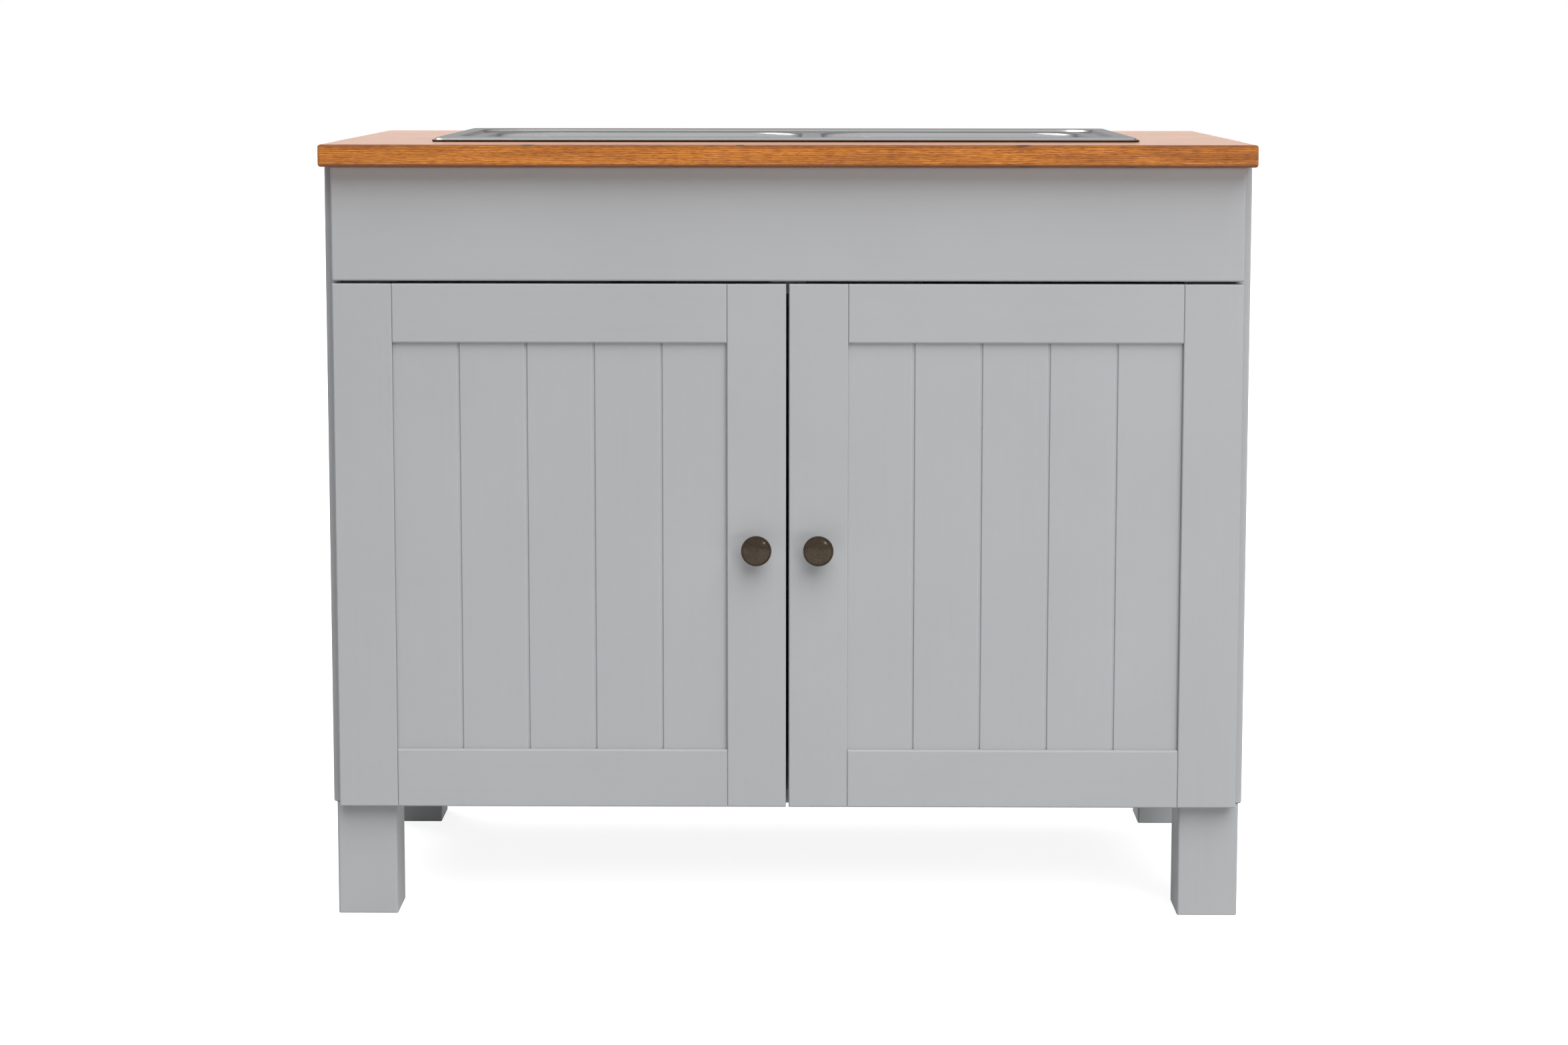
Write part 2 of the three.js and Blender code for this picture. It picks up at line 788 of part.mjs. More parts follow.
// The mounting plate on the side panel: two wings with screws and the block that the arm clips to.
function hingePlate() {
  const face = panelFace + seat;
  const centre = pivotDepth + bumperGap + plateFromEdge;
  const half = plateLength / 2;
  const wide = plateWidth / 2;
  const wings = { x0: centre - wide, x1: centre + wide, y0: -half, y1: half };
  const base = run(roundedShape(wings, plateCorner), plateThick)
    .applyMatrix4(Z_TO_X)
    .translate(face, 0, 0);
  const blockHeight = armReach - armThick / 2 - seat - face;
  const block = squareBoard(
    blockHeight,
    plateBlockLength,
    armWidth - 2 * armWall - 2 * slip,
  ).translate(face + blockHeight / 2, centre, -(armWidth / 2 - armWall - slip));
  const heads = [-1, 1].map((sign) =>
    screwHead()
      .applyMatrix4(Y_TO_X)
      .translate(face + plateThick, centre, sign * (half - plateScrewInset)),
  );
  return join(base, block, ...heads);
}

// ---------------------------------------------------------------- catch

// The double magnetic catch under the front rail: a housing with a magnet for each door.
function magneticCatch() {
  const housing = easedBoard(catchWidth, catchDepth, catchHeight - seat, catchEase);
  const slots = [-1, 1].map((sign) =>
    squareBoard(strikeWidth + 2 * strikeInset, 2 * magnetRecess, strikeHeight).translate(
      sign * strikeCentre,
      -catchDepth / 2,
      strikeLift,
    ),
  );
  const poles = [-1, 1].flatMap((sign) =>
    [poleInset, strikeHeight - poleInset - poleThick].map((height) =>
      squareBoard(strikeWidth, 2 * magnetRecess, poleThick).translate(
        sign * strikeCentre,
        -catchDepth / 2 + magnetRecess + seat,
        strikeLift + height,
      ),
    ),
  );
  return join(cut(housing, ...slots), ...poles);
}

// ---------------------------------------------------------------- one side of the cabinet
// Built for the left and mirrored for the right.

function buildSide(side, sign) {
  const half = new THREE.Group();
  half.scale.x = sign;
  assembly.add(half);
  place("side_panel_" + side, sidePanel(), "paint", [-sideOuter, carcassSetback, carcassBottom], half);

  for (const [end, y] of Object.entries(legCentresY)) {
    place(`leg_${end}_${side}`, leg(), "paint", [-legCentreX, y, 0], half);
    place(`leg_bolt_${end}_${side}`, legBolt(), "zinc", [-legCentreX, y, baseTop + seat], half);
  }

  const doorCorner = [-doorOuter, frontFace, carcassBottom];
  place(`${side}_door_outer_stile`, outerStile(), "paint", doorCorner, half);
  place(`${side}_door_inner_stile`, innerStile(), "paint", doorCorner, half);
  place(`${side}_door_top_rail`, topRail(), "paint", doorCorner, half);
  place(`${side}_door_bottom_rail`, bottomRail(), "paint", doorCorner, half);
  place(
    `${side}_door_panel`,
    doorPanel(),
    "paint",
    [
      -doorOuter + doorWidth / 2,
      frontFace + panelRecess,
      carcassBottom + frameWidth - frameGroove + 2 * slip,
    ],
    half,
  );

  const knobX = -doorGap / 2 - knobFromEdge;
  const knobZ = carcassBottom + doorHeight / 2;
  place(`${side}_knob`, knob(), "bronze", [knobX, frontFace - seat, knobZ], half);
  place(`${side}_knob_screw`, knobScrew(), "zinc", [knobX, frontBack + seat, knobZ], half);

  const pivotX = -doorOuter + pivotInset;
  const pivotY = frontBack - pivotDepth;
  hingeHeights().forEach((height, i) => {
    const at = [pivotX, pivotY, carcassBottom + height];
    const level = ["lower", "upper"][i];
    place(`${side}_${level}_hinge_cup`, hingeCup(), "zinc", at, half);
    place(`${side}_${level}_hinge_arm`, hingeArm(), "zinc", at, half);
    place(`${side}_${level}_hinge_plate`, hingePlate(), "zinc", at, half);
  });

  const strike = run(
    roundedShape(centredBox(strikeHeight, strikeWidth), strikeCorner),
    strikeThick - seat,
  ).applyMatrix4(Z_TO_Y);
  place(
    `${side}_strike_plate`,
    strike,
    "zinc",
    [
      -strikeCentre,
      frontBack + seat,
      strikeBottom + strikeHeight / 2,
    ],
    half,
  );
}

// ---------------------------------------------------------------- worktop

const sinkBox = {
  x0: sinkShift - sinkWidth / 2,
  x1: sinkShift + sinkWidth / 2,
  y0: sinkFront,
  y1: sinkFront + sinkDepth,
};

function shrunk(box, inset) {
  return { x0: box.x0 + inset, x1: box.x1 - inset, y0: box.y0 + inset, y1: box.y1 - inset };
}

const cutoutBox = shrunk(sinkBox, cutoutInset);

function worktop() {
  const board = easedBoard(worktopWidth, worktopDepth, worktopThick, worktopEase);
  const hole = run(roundedShape(cutoutBox, sinkCorner, 4), 3 * worktopThick).translate(
    0,
    -worktopDepth / 2,
    -worktopThick,
  );
  return cut(board, hole);
}

// ---------------------------------------------------------------- sink

const recessBox = {
  x0: sinkBox.x0 + rimSide,
  x1: sinkBox.x1 - rimSide,
  y0: sinkBox.y0 + rimFront,
  y1: sinkBox.y1 - rimRear,
};
const bowlRowLeft = sinkShift - bowlRowWidth / 2;
const bowls = {
  left: bowlBox(bowlRowLeft, leftBowlWidth),
  right: bowlBox(bowlRowLeft + leftBowlWidth + divider, rightBowlWidth),
};

function bowlBox(x0, width) {
  return { x0, x1: x0 + width, y0: bowlFront, y1: bowlFront + bowlLength };
}

// The pressed deck: a raised rim, a sunk field, and a rolled edge round each bowl. Its sheet is a
// closed ring for the rim, a floor with two holes, and a ring round each hole.
function sinkDeck() {
  const lip = worktopTop + seat;
  const over = { box: sinkBox, radius: sinkCorner };
  const sunk = { box: recessBox, radius: recessCorner };
  const overlap = 6; // of the rim's sheet and the floor's
  const rim = loft(
    [
      { ...over, outset: 0, z: lip },
      { ...over, outset: 0, z: lip + 1 },
      { ...over, outset: -1.4, z: rimTop - 1.2 },
      { ...over, outset: -rimRoll, z: rimTop },
      { ...sunk, outset: recessSlope, z: rimTop },
      { ...sunk, outset: 0, z: recessFloor },
      { ...sunk, outset: -overlap, z: recessFloor },
      { ...sunk, outset: -overlap, z: recessFloor - steel },
      { ...sunk, outset: steel / 2, z: recessFloor - steel },
      { ...sunk, outset: recessSlope + steel / 2, z: rimTop - steel },
      { ...over, outset: -rimRoll - steel / 2, z: rimTop - steel },
      { ...over, outset: -1.4 - steel, z: rimTop - 1.2 - steel },
      { ...over, outset: -steel, z: lip + 0.5 },
      { ...over, outset: -steel, z: lip },
    ],
    { ring: true },
  );
  const floorShape = new THREE.Shape(roundedPoints(recessBox, -1, recessCorner, cornerSteps));
  for (const box of Object.values(bowls)) {
    const hole = roundedPoints(box, bowlEdge + 1, bowlCorner, cornerSteps);
    floorShape.holes.push(new THREE.Path(hole));
  }
  const floor = run(floorShape, steel).translate(0, 0, recessFloor - steel);
  return join(rim, floor, ...Object.values(bowls).map(bowlCollar));
}

// The rolled edge that turns down from the deck into a bowl.
function bowlCollar(box) {
  const around = { box, radius: bowlCorner };
  const steps = 3;
  const turn = (r) =>
    Array.from({ length: steps + 1 }, (_, i) => {
      const angle = (i * Math.PI) / 2 / steps;
      return {
        ...around,
        outset: bowlEdge - r * Math.sin(angle),
        z: recessFloor - bowlEdge + r * Math.cos(angle),
      };
    });
  const foot = recessFloor - bowlEdge - weldDepth;
  return loft(
    [
      { ...around, outset: bowlEdge + 2, z: recessFloor - steel },
      { ...around, outset: bowlEdge + 2, z: recessFloor },
      ...turn(bowlEdge),
      { ...around, outset: 0, z: foot },
      { ...around, outset: steel, z: foot },
      ...turn(bowlEdge - steel).reverse(),
    ],
    { ring: true },
  );
}

function middleOf(box) {
  return [(box.x0 + box.x1) / 2, (box.y0 + box.y1) / 2];
}

// The levels of a bowl's surface from the floor's fillet up to its top edge.
function bowlLevels(box, outset, fillet, floor) {
  const steps = 3;
  const around = { box, radius: bowlCorner };
  const turn = Array.from({ length: steps + 1 }, (_, i) => {
    const angle = (i * Math.PI) / 2 / steps;
    return {
      ...around,
      outset: outset - bowlTaper - fillet * (1 - Math.sin(angle)),
      z: floor + fillet * (1 - Math.cos(angle)),
    };
  });
  return [...turn, { ...around, outset, z: bowlTop }];
}

// A pressed bowl with a dished seat for its strainer.
function bowl(box) {
  const [x, y] = middleOf(box);
  const outside = loft(bowlLevels(box, steel, bowlFillet + steel, bowlFloor - steel));
  const inside = bowlLevels(box, 0, bowlFillet, bowlFloor);
  const cavity = loft([...inside, { ...inside.at(-1), z: bowlTop + 1 }]);
  const dishOutside = turned([
    [0, -dishDepth - steel],
    [dishRadius, -dishDepth - steel],
    [dishRadius + 4, -steel / 2],
    [0, -steel / 2],
  ]);
  const dish = turned([
    [0, -dishDepth],
    [dishRadius - 0.6, -dishDepth],
    [dishRadius + 3, 1],
    [0, 1],
  ]);
  const drain = barAlongY(drainRadius, 8 * dishDepth, fine);
  const stand = (piece) => piece.applyMatrix4(Y_TO_Z).translate(x, y, bowlFloor);
  return cut(join(outside, stand(dishOutside)), cavity, stand(dish), stand(drain));
}

// ---------------------------------------------------------------- strainers
// Turned about Y with y = 0 at the bowl's dished floor, then stood upright.

const flangeRadius = dishRadius - 3;
const cupOuter = drainRadius - 2 * slip;
const cupInner = cupOuter - strainerWall;
const strainerBottom = -strainerCup;
const outletBottom = strainerBottom - outletLength;
const outletBore = outletRadius - strainerWall;
const floorFall = 1; // from the strainer's wall to its outlet
const floorEdge = cupInner - 6;

// Height of the strainer's inner floor at a radius.
function strainerFloor(radius) {
  const share = (floorEdge - radius) / (floorEdge - outletBore);
  return strainerBottom + strainerWall - floorFall * share;
}

function strainerBody() {
  const lip = seat;
  return turned([
    [cupInner, lip + 1.2],
    [cupInner, strainerBottom + 8],
    [floorEdge, strainerFloor(floorEdge)],
    [outletBore, strainerFloor(outletBore)],
    [outletBore, outletBottom],
    [outletRadius, outletBottom],
    [outletRadius, strainerBottom - 1],
    [cupInner - 5, strainerBottom],
    [cupOuter, strainerBottom + 8],
    [cupOuter, lip],
    [flangeRadius, lip],
    [flangeRadius, lip + 0.7],
    [flangeRadius - 2, lip + 1.4],
    [cupInner + 2, lip + 1.4],
    [cupInner, lip + 1.2],
  ]);
}

// The nut that clamps the strainer to the bowl from below, with grip lugs.
function backNut() {
  const top = -steel - seat;
  const bottom = top - nutHeight;
  const ring = turned([
    [cupOuter + slip, bottom],
    [nutRadius - nutStep, bottom],
    [nutRadius - nutStep, top - nutFlange],
    [nutRadius, top - nutFlange],
    [nutRadius, top],
    [cupOuter + slip, top],
    [cupOuter + slip, bottom],
  ]);
  const lugs = Array.from({ length: lugCount }, (_, i) =>
    new THREE.BoxGeometry(1.5 * nutStep, nutHeight - nutFlange, lugWidth)
      .translate(nutRadius - 0.75 * nutStep, (bottom + top - nutFlange) / 2, 0)
      .rotateY((i * 2 * Math.PI) / lugCount),
  );
  return join(ring, ...lugs);
}

// The basket: a perforated cup with a centre post and grip, and a rubber plug fused under it.
function basket() {
  const rim = -basketSet;
  const floor = rim - basketDeep;
  const plug = outletBore + plugLip;
  const seatHeight = strainerFloor(plug - 1) + 1.5 * seat;
  const wall = basketWall;
  const lip = basketRadius + basketLip;
  const foot = basketRadius - 2; // the wall's radius above the turn to the floor
  const flat = basketRadius - 6; // the floor's
  const turn = 4; // height of that turn
  const cup = turned(
    [
      [0, seatHeight],
      [plug - 1, seatHeight],
      [plug, seatHeight + 2.5],
      [plug - 6, floor],
      [flat, floor],
      [foot, floor + turn],
      [basketRadius, rim],
      [lip, rim],
      [lip, rim + wall],
      [basketRadius - wall, rim + wall],
      [foot - wall, floor + turn + wall],
      [flat - wall, floor + wall],
      [postRadius, floor + wall],
      [postRadius, rim - 6],
      [gripRadius, rim - 2.5],
      [gripRadius - 1.5, rim],
      [0, rim + 0.6],
    ],
    medium,
  );
  const ring = (flat - wall + plug - 2) / 2;
  const holes = Array.from({ length: basketHoles }, (_, i) => {
    const angle = (i * 2 * Math.PI) / basketHoles;
    return barAlongY(basketHoleRadius, 10, 6).translate(
      ring * Math.cos(angle),
      floor + 1,
      ring * Math.sin(angle),
    );
  });
  return cut(cup, ...holes);
}

// ---------------------------------------------------------------- seal and clips

function sinkSeal() {
  const around = { box: sinkBox, radius: sinkCorner };
  const bottom = worktopTop + seat;
  const top = bottom + sealThick;
  return loft(
    [
      { ...around, outset: -sealInset, z: bottom },
      { ...around, outset: -sealInset, z: top },
      { ...around, outset: -sealInset - sealWidth, z: top },
      { ...around, outset: -sealInset - sealWidth, z: bottom },
    ],
    { ring: true },
  );
}

// A clip that hangs from the sink's rim and grips the underside of the worktop. Its profile runs
// outwards along +x from the cut-out's edge at x = 0, with z = 0 at the worktop's underside.
function sinkClip() {
  const top = worktopThick + rimHeight - steel - slip;
  const low = -seat - clipHook - clipThick;
  const back = -clipThick - 2;
  const profile = new THREE.Shape();
  profile.moveTo(back, low);
  profile.lineTo(clipReach, low);
  profile.lineTo(clipReach, -seat);
  profile.lineTo(clipReach - clipThick, -seat);
  profile.lineTo(clipReach - clipThick - 1, low + clipThick);
  profile.lineTo(back + clipThick, low + clipThick);
  profile.lineTo(back + clipThick, top - clipThick);
  profile.lineTo(back + clipThick + clipEar, top - clipThick);
  profile.lineTo(back + clipThick + clipEar, top);
  profile.lineTo(back, top);
  // The profile's x and y become X and Z, and the run goes along -Y.
  return run(profile, clipWidth)
    .translate(0, 0, -clipWidth / 2)
    .applyMatrix4(STOOD_UP);
}

function buildSink() {
  place("worktop", worktop(), "pine", [0, worktopDepth / 2, carcassTop]);
  place("sink_deck", sinkDeck(), "steel", [0, 0, 0]);
  place("sink_seal", sinkSeal(), "rubber", [0, 0, 0]);
  for (const [side, box] of Object.entries(bowls)) {
    const [x, y] = middleOf(box);
    const drain = [x, y, bowlFloor - dishDepth];
    place(`${side}_bowl`, bowl(box), "steel", [0, 0, 0]);
    const upright = (piece) => piece.applyMatrix4(Y_TO_Z);
    place(`${side}_strainer_body`, upright(strainerBody()), "steel", drain);
    place(`${side}_strainer_nut`, upright(backNut()), "plastic", drain);
    place(`${side}_strainer_basket`, upright(basket()), "steel", drain);
  }
  const quarterTurn = Math.PI / 2;
  const middleY = (cutoutBox.y0 + cutoutBox.y1) / 2;
  const spread = sinkWidth / 4;
  const clips = {
    sink_clip_left: [cutoutBox.x0, middleY, 2],
    sink_clip_right: [cutoutBox.x1, middleY, 0],
    sink_clip_front_left: [sinkShift - spread, cutoutBox.y0, -1],
    sink_clip_front_right: [sinkShift + spread, cutoutBox.y0, -1],
  };
  for (const [name, [x, y, turns]] of Object.entries(clips)) {
    place(name, sinkClip().rotateZ(turns * quarterTurn), "zinc", [x, y, carcassTop]);
  }
}

// ---------------------------------------------------------------- the whole cabinet

carcass();
buildSide("left", 1);
buildSide("right", -1);
place("magnetic_catch", magneticCatch(), "plastic", [
  0,
  frontBack + strikeThick + strikeGap + catchDepth / 2,
  frontRailBottom - catchHeight,
]);
buildSink();

const cabinet = new THREE.Group();
cabinet.add(assembly);
export default cabinet;
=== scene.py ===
"""A painted sink base cabinet with a pine worktop and a double-bowl sink, in a plain studio.

Each piece is drawn round the box of its CAD node, so its place and size come from the frame.
"""

import math
from functools import cached_property

import bmesh
import bpy
from mathutils import Matrix, Vector
from mathutils.geometry import tessellate_polygon


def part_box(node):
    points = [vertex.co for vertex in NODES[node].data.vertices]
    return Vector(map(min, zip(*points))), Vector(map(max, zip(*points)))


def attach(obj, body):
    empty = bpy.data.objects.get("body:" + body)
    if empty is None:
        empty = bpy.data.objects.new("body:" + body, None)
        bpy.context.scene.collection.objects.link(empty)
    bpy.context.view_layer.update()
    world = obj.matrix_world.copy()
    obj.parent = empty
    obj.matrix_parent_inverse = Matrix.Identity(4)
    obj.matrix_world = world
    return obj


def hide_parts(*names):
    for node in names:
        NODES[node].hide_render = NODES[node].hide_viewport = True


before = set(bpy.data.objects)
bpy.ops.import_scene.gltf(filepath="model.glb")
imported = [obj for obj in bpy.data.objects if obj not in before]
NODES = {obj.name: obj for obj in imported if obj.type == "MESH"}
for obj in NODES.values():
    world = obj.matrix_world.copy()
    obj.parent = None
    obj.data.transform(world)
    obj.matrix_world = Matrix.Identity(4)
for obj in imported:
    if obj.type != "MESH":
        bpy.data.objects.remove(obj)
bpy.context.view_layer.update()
MM = 0.001
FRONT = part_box("worktop")[0].y  # the worktop's front face
SIDES = (("left", -1), ("right", 1))
ENDS = ("front", "rear")
LEVELS = ("lower", "upper")
AXES = {"X": 0, "Y": 1, "Z": 2}
QUARTER = math.pi / 2
SHARP = 35  # faces that meet at more than this many degrees keep a crisp edge

# ---------------------------------------------------------------- shader kit


class Shader:
    """A node tree, built by short calls."""

    def __init__(self, owner, output="OutputMaterial"):
        self.owner = owner
        owner.use_nodes = True
        self.tree = owner.node_tree
        self.tree.nodes.clear()
        self.output = self.node(output)

    @cached_property
    def place(self):
        """The object's own coordinates in metres."""
        return self.node("TexCoord").outputs["Object"]

    def put(self, socket, value):
        if isinstance(value, bpy.types.NodeSocket):
            self.tree.links.new(value, socket)
        elif isinstance(value, (tuple, list)) and len(value) == 3 and socket.type == "RGBA":
            socket.default_value = (*value, 1)
        else:
            socket.default_value = value

    def node(self, kind, props=None, **inputs):
        made = self.tree.nodes.new("ShaderNode" + kind)
        for key, value in (props or {}).items():
            setattr(made, key, value)
        for key, value in inputs.items():
            self.put(made.inputs[key.replace("_", " ")], value)
        return made

    def at(self, *scale):
        """The object's own coordinates, scaled along each axis."""
        return self.vector("MULTIPLY", self.place, scale)

    def vector(self, operation, a, b=(0, 0, 0)):
        made = self.node("VectorMath", {"operation": operation})
        self.put(made.inputs[0], a)
        self.put(made.inputs[1], b)
        return made.outputs["Value" if operation == "LENGTH" else "Vector"]

    def math(self, operation, a, b=0.0, clamp=False):
        made = self.node("Math", {"operation": operation, "use_clamp": clamp})
        self.put(made.inputs[0], a)
        self.put(made.inputs[1], b)
        return made.outputs[0]

    def noise(self, vector, scale=1.0, detail=3.0, rough=0.5):
        made = self.node("TexNoise", Vector=vector, Scale=scale, Detail=detail, Roughness=rough)
        return made.outputs["Fac"]

    def ramp(self, factor, *stops):
        """Colours, or greys given as one number, at places from 0 to 1."""
        made = self.node("ValToRGB", Fac=factor)
        points = made.color_ramp.elements
        while len(points) < len(stops):
            points.new(0.5)
        for point, (place, colour) in zip(points, stops):
            point.position = place
            grey = isinstance(colour, (int, float))
            point.color = (colour, colour, colour, 1) if grey else (*colour, 1)
        return made.outputs["Color"]

    def mix(self, factor, a, b, blend="MIX"):
        made = self.node("Mix", {"data_type": "RGBA", "blend_type": blend})
        for i, value in ((0, factor), (6, a), (7, b)):  # the sockets of its colour mode
            self.put(made.inputs[i], value)
        return made.outputs[2]

    def bump(self, height, distance, strength, normal=None):
        made = self.node("Bump", Height=height, Distance=distance, Strength=strength)
        if normal is not None:
            self.put(made.inputs["Normal"], normal)
        return made.outputs["Normal"]

    def seen(self):
        """1 for rays that see a thing, straight, mirrored or through glass, and 0 for others."""
        rays = self.node("LightPath").outputs
        both = self.math("MAXIMUM", rays["Is Camera Ray"], rays["Is Glossy Ray"])
        return self.math("MAXIMUM", both, rays["Is Transmission Ray"])

    def end(self, made):
        """Ends the tree in this node and returns the material or world."""
        self.tree.links.new(made.outputs[0], self.output.inputs["Surface"])
        return self.owner

    def surface(self, distribution="MULTI_GGX", **inputs):
        """Ends the tree in one Principled shader with these inputs."""
        return self.end(self.node("BsdfPrincipled", {"distribution": distribution}, **inputs))


# ---------------------------------------------------------------- materials


def paint(name, grain):
    """Silk paint over a sealed wooden face: a faint grain, a fine spray texture, soft clouding."""
    s = Shader(bpy.data.materials.new(name))
    along = {"X": (5, 210, 210), "Z": (210, 210, 5)}[grain]
    fibre = s.noise(s.at(*along), detail=4, rough=0.6)
    spray = s.noise(s.place, scale=900, detail=2)
    cloud = s.noise(s.place, scale=5)
    base = s.ramp(cloud, (0.3, (0.430, 0.436, 0.447)), (0.7, (0.446, 0.452, 0.463)))
    streak = s.ramp(fibre, (0.35, 0.985), (0.65, 1.0))
    normal = s.bump(fibre, 0.10 * MM, 0.2)
    return s.surface(
        Base_Color=s.mix(1.0, base, streak, "MULTIPLY"),
        Roughness=s.ramp(spray, (0.3, 0.50), (0.7, 0.60)),
        Normal=s.bump(spray, 0.08 * MM, 0.4, normal),
        Specular_IOR_Level=0.2,
    )


def faced_board(name, low, high, scale=320):
    """Melamine or lacquer-faced board with a fine mottle."""
    s = Shader(bpy.data.materials.new(name))
    mottle = s.noise(s.place, scale=scale, detail=4, rough=0.7)
    cloud = s.noise(s.place, scale=6, detail=2)
    speckled = s.ramp(mottle, (0.3, low), (0.7, high))
    return s.surface(
        Base_Color=s.mix(s.math("MULTIPLY", cloud, 0.6), speckled, high),
        Roughness=s.ramp(mottle, (0.3, 0.5), (0.7, 0.62)),
        Normal=s.bump(mottle, 0.1 * MM, 0.4),
    )


STAVE = 92.5 * MM  # the width of each stave of the worktop
PITH = 90 * MM  # how far the rings' middle lies below the worktop's top
RINGS = 520  # rings in a metre
# Each knot's middle, across, behind the worktop's front and below its top, and its size, in mm.
KNOTS = (
    (-276, 2, -0.8, 10),
    (-276, 2, 25, 8),
    (-51, 2, 24, 6),
    (-50, 2, 0, 5),
    (252, 2, 24, 8),
    (250, 3, 0, 9),
    (366, 2, 24, 5),
    (-410, 214, 0, 9),
    (432, 402, 0, 11),
    (-60, 566, 0, 8),
    (296, 46, 0, 7),
)


def pine(name):
    """Stained and oiled pine, glued from staves that run the length of the top."""
    s = Shader(bpy.data.materials.new(name))
    low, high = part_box("worktop")
    axes = s.node("SeparateXYZ", Vector=s.place).outputs
    # Each stave has its own log: its number shifts where the rings are cut.
    stave = s.math("FLOOR", s.math("DIVIDE", axes["Y"], STAVE))
    chance = s.node("TexWhiteNoise", {"noise_dimensions": "1D"}, W=stave).outputs
    shift = s.vector("MULTIPLY", chance["Color"], (5.0, 0.07, 0.05))

    def layer(along, across, detail=3, rough=0.6):
        """Noise drawn out along the grain."""
        return s.noise(s.vector("ADD", s.at(along, across, across), shift), 1.0, detail, rough)

    beside = s.math("SUBTRACT", s.math("PINGPONG", axes["Y"], STAVE), 46 * MM)
    above = s.math("ADD", axes["Z"], PITH - high.z)
    across = s.node("CombineXYZ", Y=beside, Z=above).outputs[0]
    across = s.vector("ADD", across, s.vector("MULTIPLY", shift, (0, 1, 1)))
    # Here and there the rings are curled into a fine mottle.
    curled = s.ramp(layer(5, 40, 2, 0.5), (0.46, 0.0), (0.62, 1.0))
    curl = s.math("MULTIPLY", layer(110, 330, 2, 0.5), curled)
    # Rings bend round the knots, which are dark, dense and drawn out along the grain.
    knot = None
    for x, behind, below, size in KNOTS:
        centre = (x * MM, FRONT + behind * MM, high.z - below * MM)
        near = s.vector("MULTIPLY", s.vector("SUBTRACT", s.place, centre), (1, 1.6, 3.6))
        close = s.math("DIVIDE", s.vector("LENGTH", near), size * MM)
        blob = s.math("SUBTRACT", 1.0, s.math("MULTIPLY", close, 0.8), clamp=True)
        knot = blob if knot is None else s.math("MAXIMUM", knot, blob)
    rings = s.math("MULTIPLY", s.vector("LENGTH", across), RINGS)
    bends = ((layer(2.2, 12, 4, 0.5), 9), (layer(14, 60, 2, 0.5), 0.35), (curl, 1.3), (knot, 3.0))
    for bend, amount in bends:
        rings = s.math("ADD", rings, s.math("MULTIPLY", bend, amount))
    late = s.math("FRACT", rings)
    wood = s.ramp(  # across one ring
        late,
        (0.0, (0.76, 0.300, 0.052)),
        (0.45, (0.71, 0.265, 0.040)),
        (0.78, (0.48, 0.150, 0.018)),
        (0.92, (0.34, 0.088, 0.009)),
        (1.0, (0.74, 0.285, 0.048)),
    )
    # The rings fade in and out along the grain.
    faded = s.ramp(layer(30, 260), (0.40, 0.0), (0.62, 0.75))
    wood = s.mix(faded, wood, (0.61, 0.215, 0.029))
    # Bands, clouds, fine fibres, pores, and a tint of each stave's own: share, then two colours.
    fine = layer(9, 1500, 3, 0.65)
    for factor, share, dark, light in (
        (layer(3.5, 150), 0.75, (0.34, (0.70, 0.64, 0.58)), (0.62, (1.16, 1.18, 1.20))),
        (layer(7, 45), 0.8, (0.30, (0.62, 0.55, 0.48)), (0.52, (1.05, 1.06, 1.07))),
        (fine, 0.7, (0.32, (0.68, 0.62, 0.56)), (0.66, (1.12, 1.12, 1.10))),
        (layer(90, 700), 0.8, (0.36, (0.52, 0.43, 0.30)), (0.56, (1.06, 1.05, 1.03))),
        (chance["Value"], 0.8, (0.0, (0.86, 0.82, 0.78)), (1.0, (1.08, 1.08, 1.06))),
    ):
        wood = s.mix(share, wood, s.ramp(factor, dark, light), "MULTIPLY")
    # The front's eased edges are darker: some gathered stain, and painted shade, a little above
    # and more below, where the lower edge faces down.
    behind = s.math("SUBTRACT", axes["Y"], FRONT)
    for inside, share, stain_and_shade in (
        (s.math("SUBTRACT", high.z, axes["Z"]), 0.4, (0.14, 0.035, 0.010)),
        (s.math("SUBTRACT", axes["Z"], low.z), 0.9, (0.11, 0.028, 0.008)),
    ):
        near = s.math("MULTIPLY", s.math("ADD", behind, inside), 100)
        wood = s.mix(s.ramp(near, (0.2, share), (0.42, 0.0)), wood, stain_and_shade)
    wood = s.mix(s.ramp(knot, (0.05, 0.0), (0.55, 0.92)), wood, (0.050, 0.018, 0.012))
    normal = s.bump(late, 0.12 * MM, 0.1)
    return s.surface(
        Base_Color=wood,
        Roughness=s.ramp(fine, (0.3, 0.36), (0.7, 0.24)),
        Normal=s.bump(fine, 0.12 * MM, 0.5, normal),
        Coat_Weight=0.14,
        Coat_Roughness=0.08,
        Specular_IOR_Level=0.3,
    )


def steel(name, brushed=(3, 700, 700), low=0.40, high=0.48, rough=(0.17, 0.28), tint=(1, 1, 1.01),
          relief=0.3):
    """Satin metal with the fine lines of its polishing and a few soft water marks."""
    s = Shader(bpy.data.materials.new(name))
    lines = s.noise(s.at(*brushed), detail=4, rough=0.7)
    marks = s.noise(s.place, scale=9, detail=4, rough=0.6)
    dark, light = (tuple(level * share for share in tint) for level in (low, high))
    base = s.ramp(lines, (0.3, dark), (0.7, light))
    amount = s.math("ADD", s.math("MULTIPLY", lines, rough[1] - rough[0]), rough[0])
    inputs = {"Normal": s.bump(lines, 0.02 * MM, relief)} if relief else {}
    return s.surface(
        "GGX",
        Base_Color=s.mix(0.2, base, s.ramp(marks, (0.35, 0.86), (0.7, 1.05)), "MULTIPLY"),
        Metallic=1.0,
        Roughness=s.math("ADD", amount, s.math("MULTIPLY", marks, 0.03)),
        Specular_Tint=(0.25, 0.25, 0.25),
        **inputs,
    )


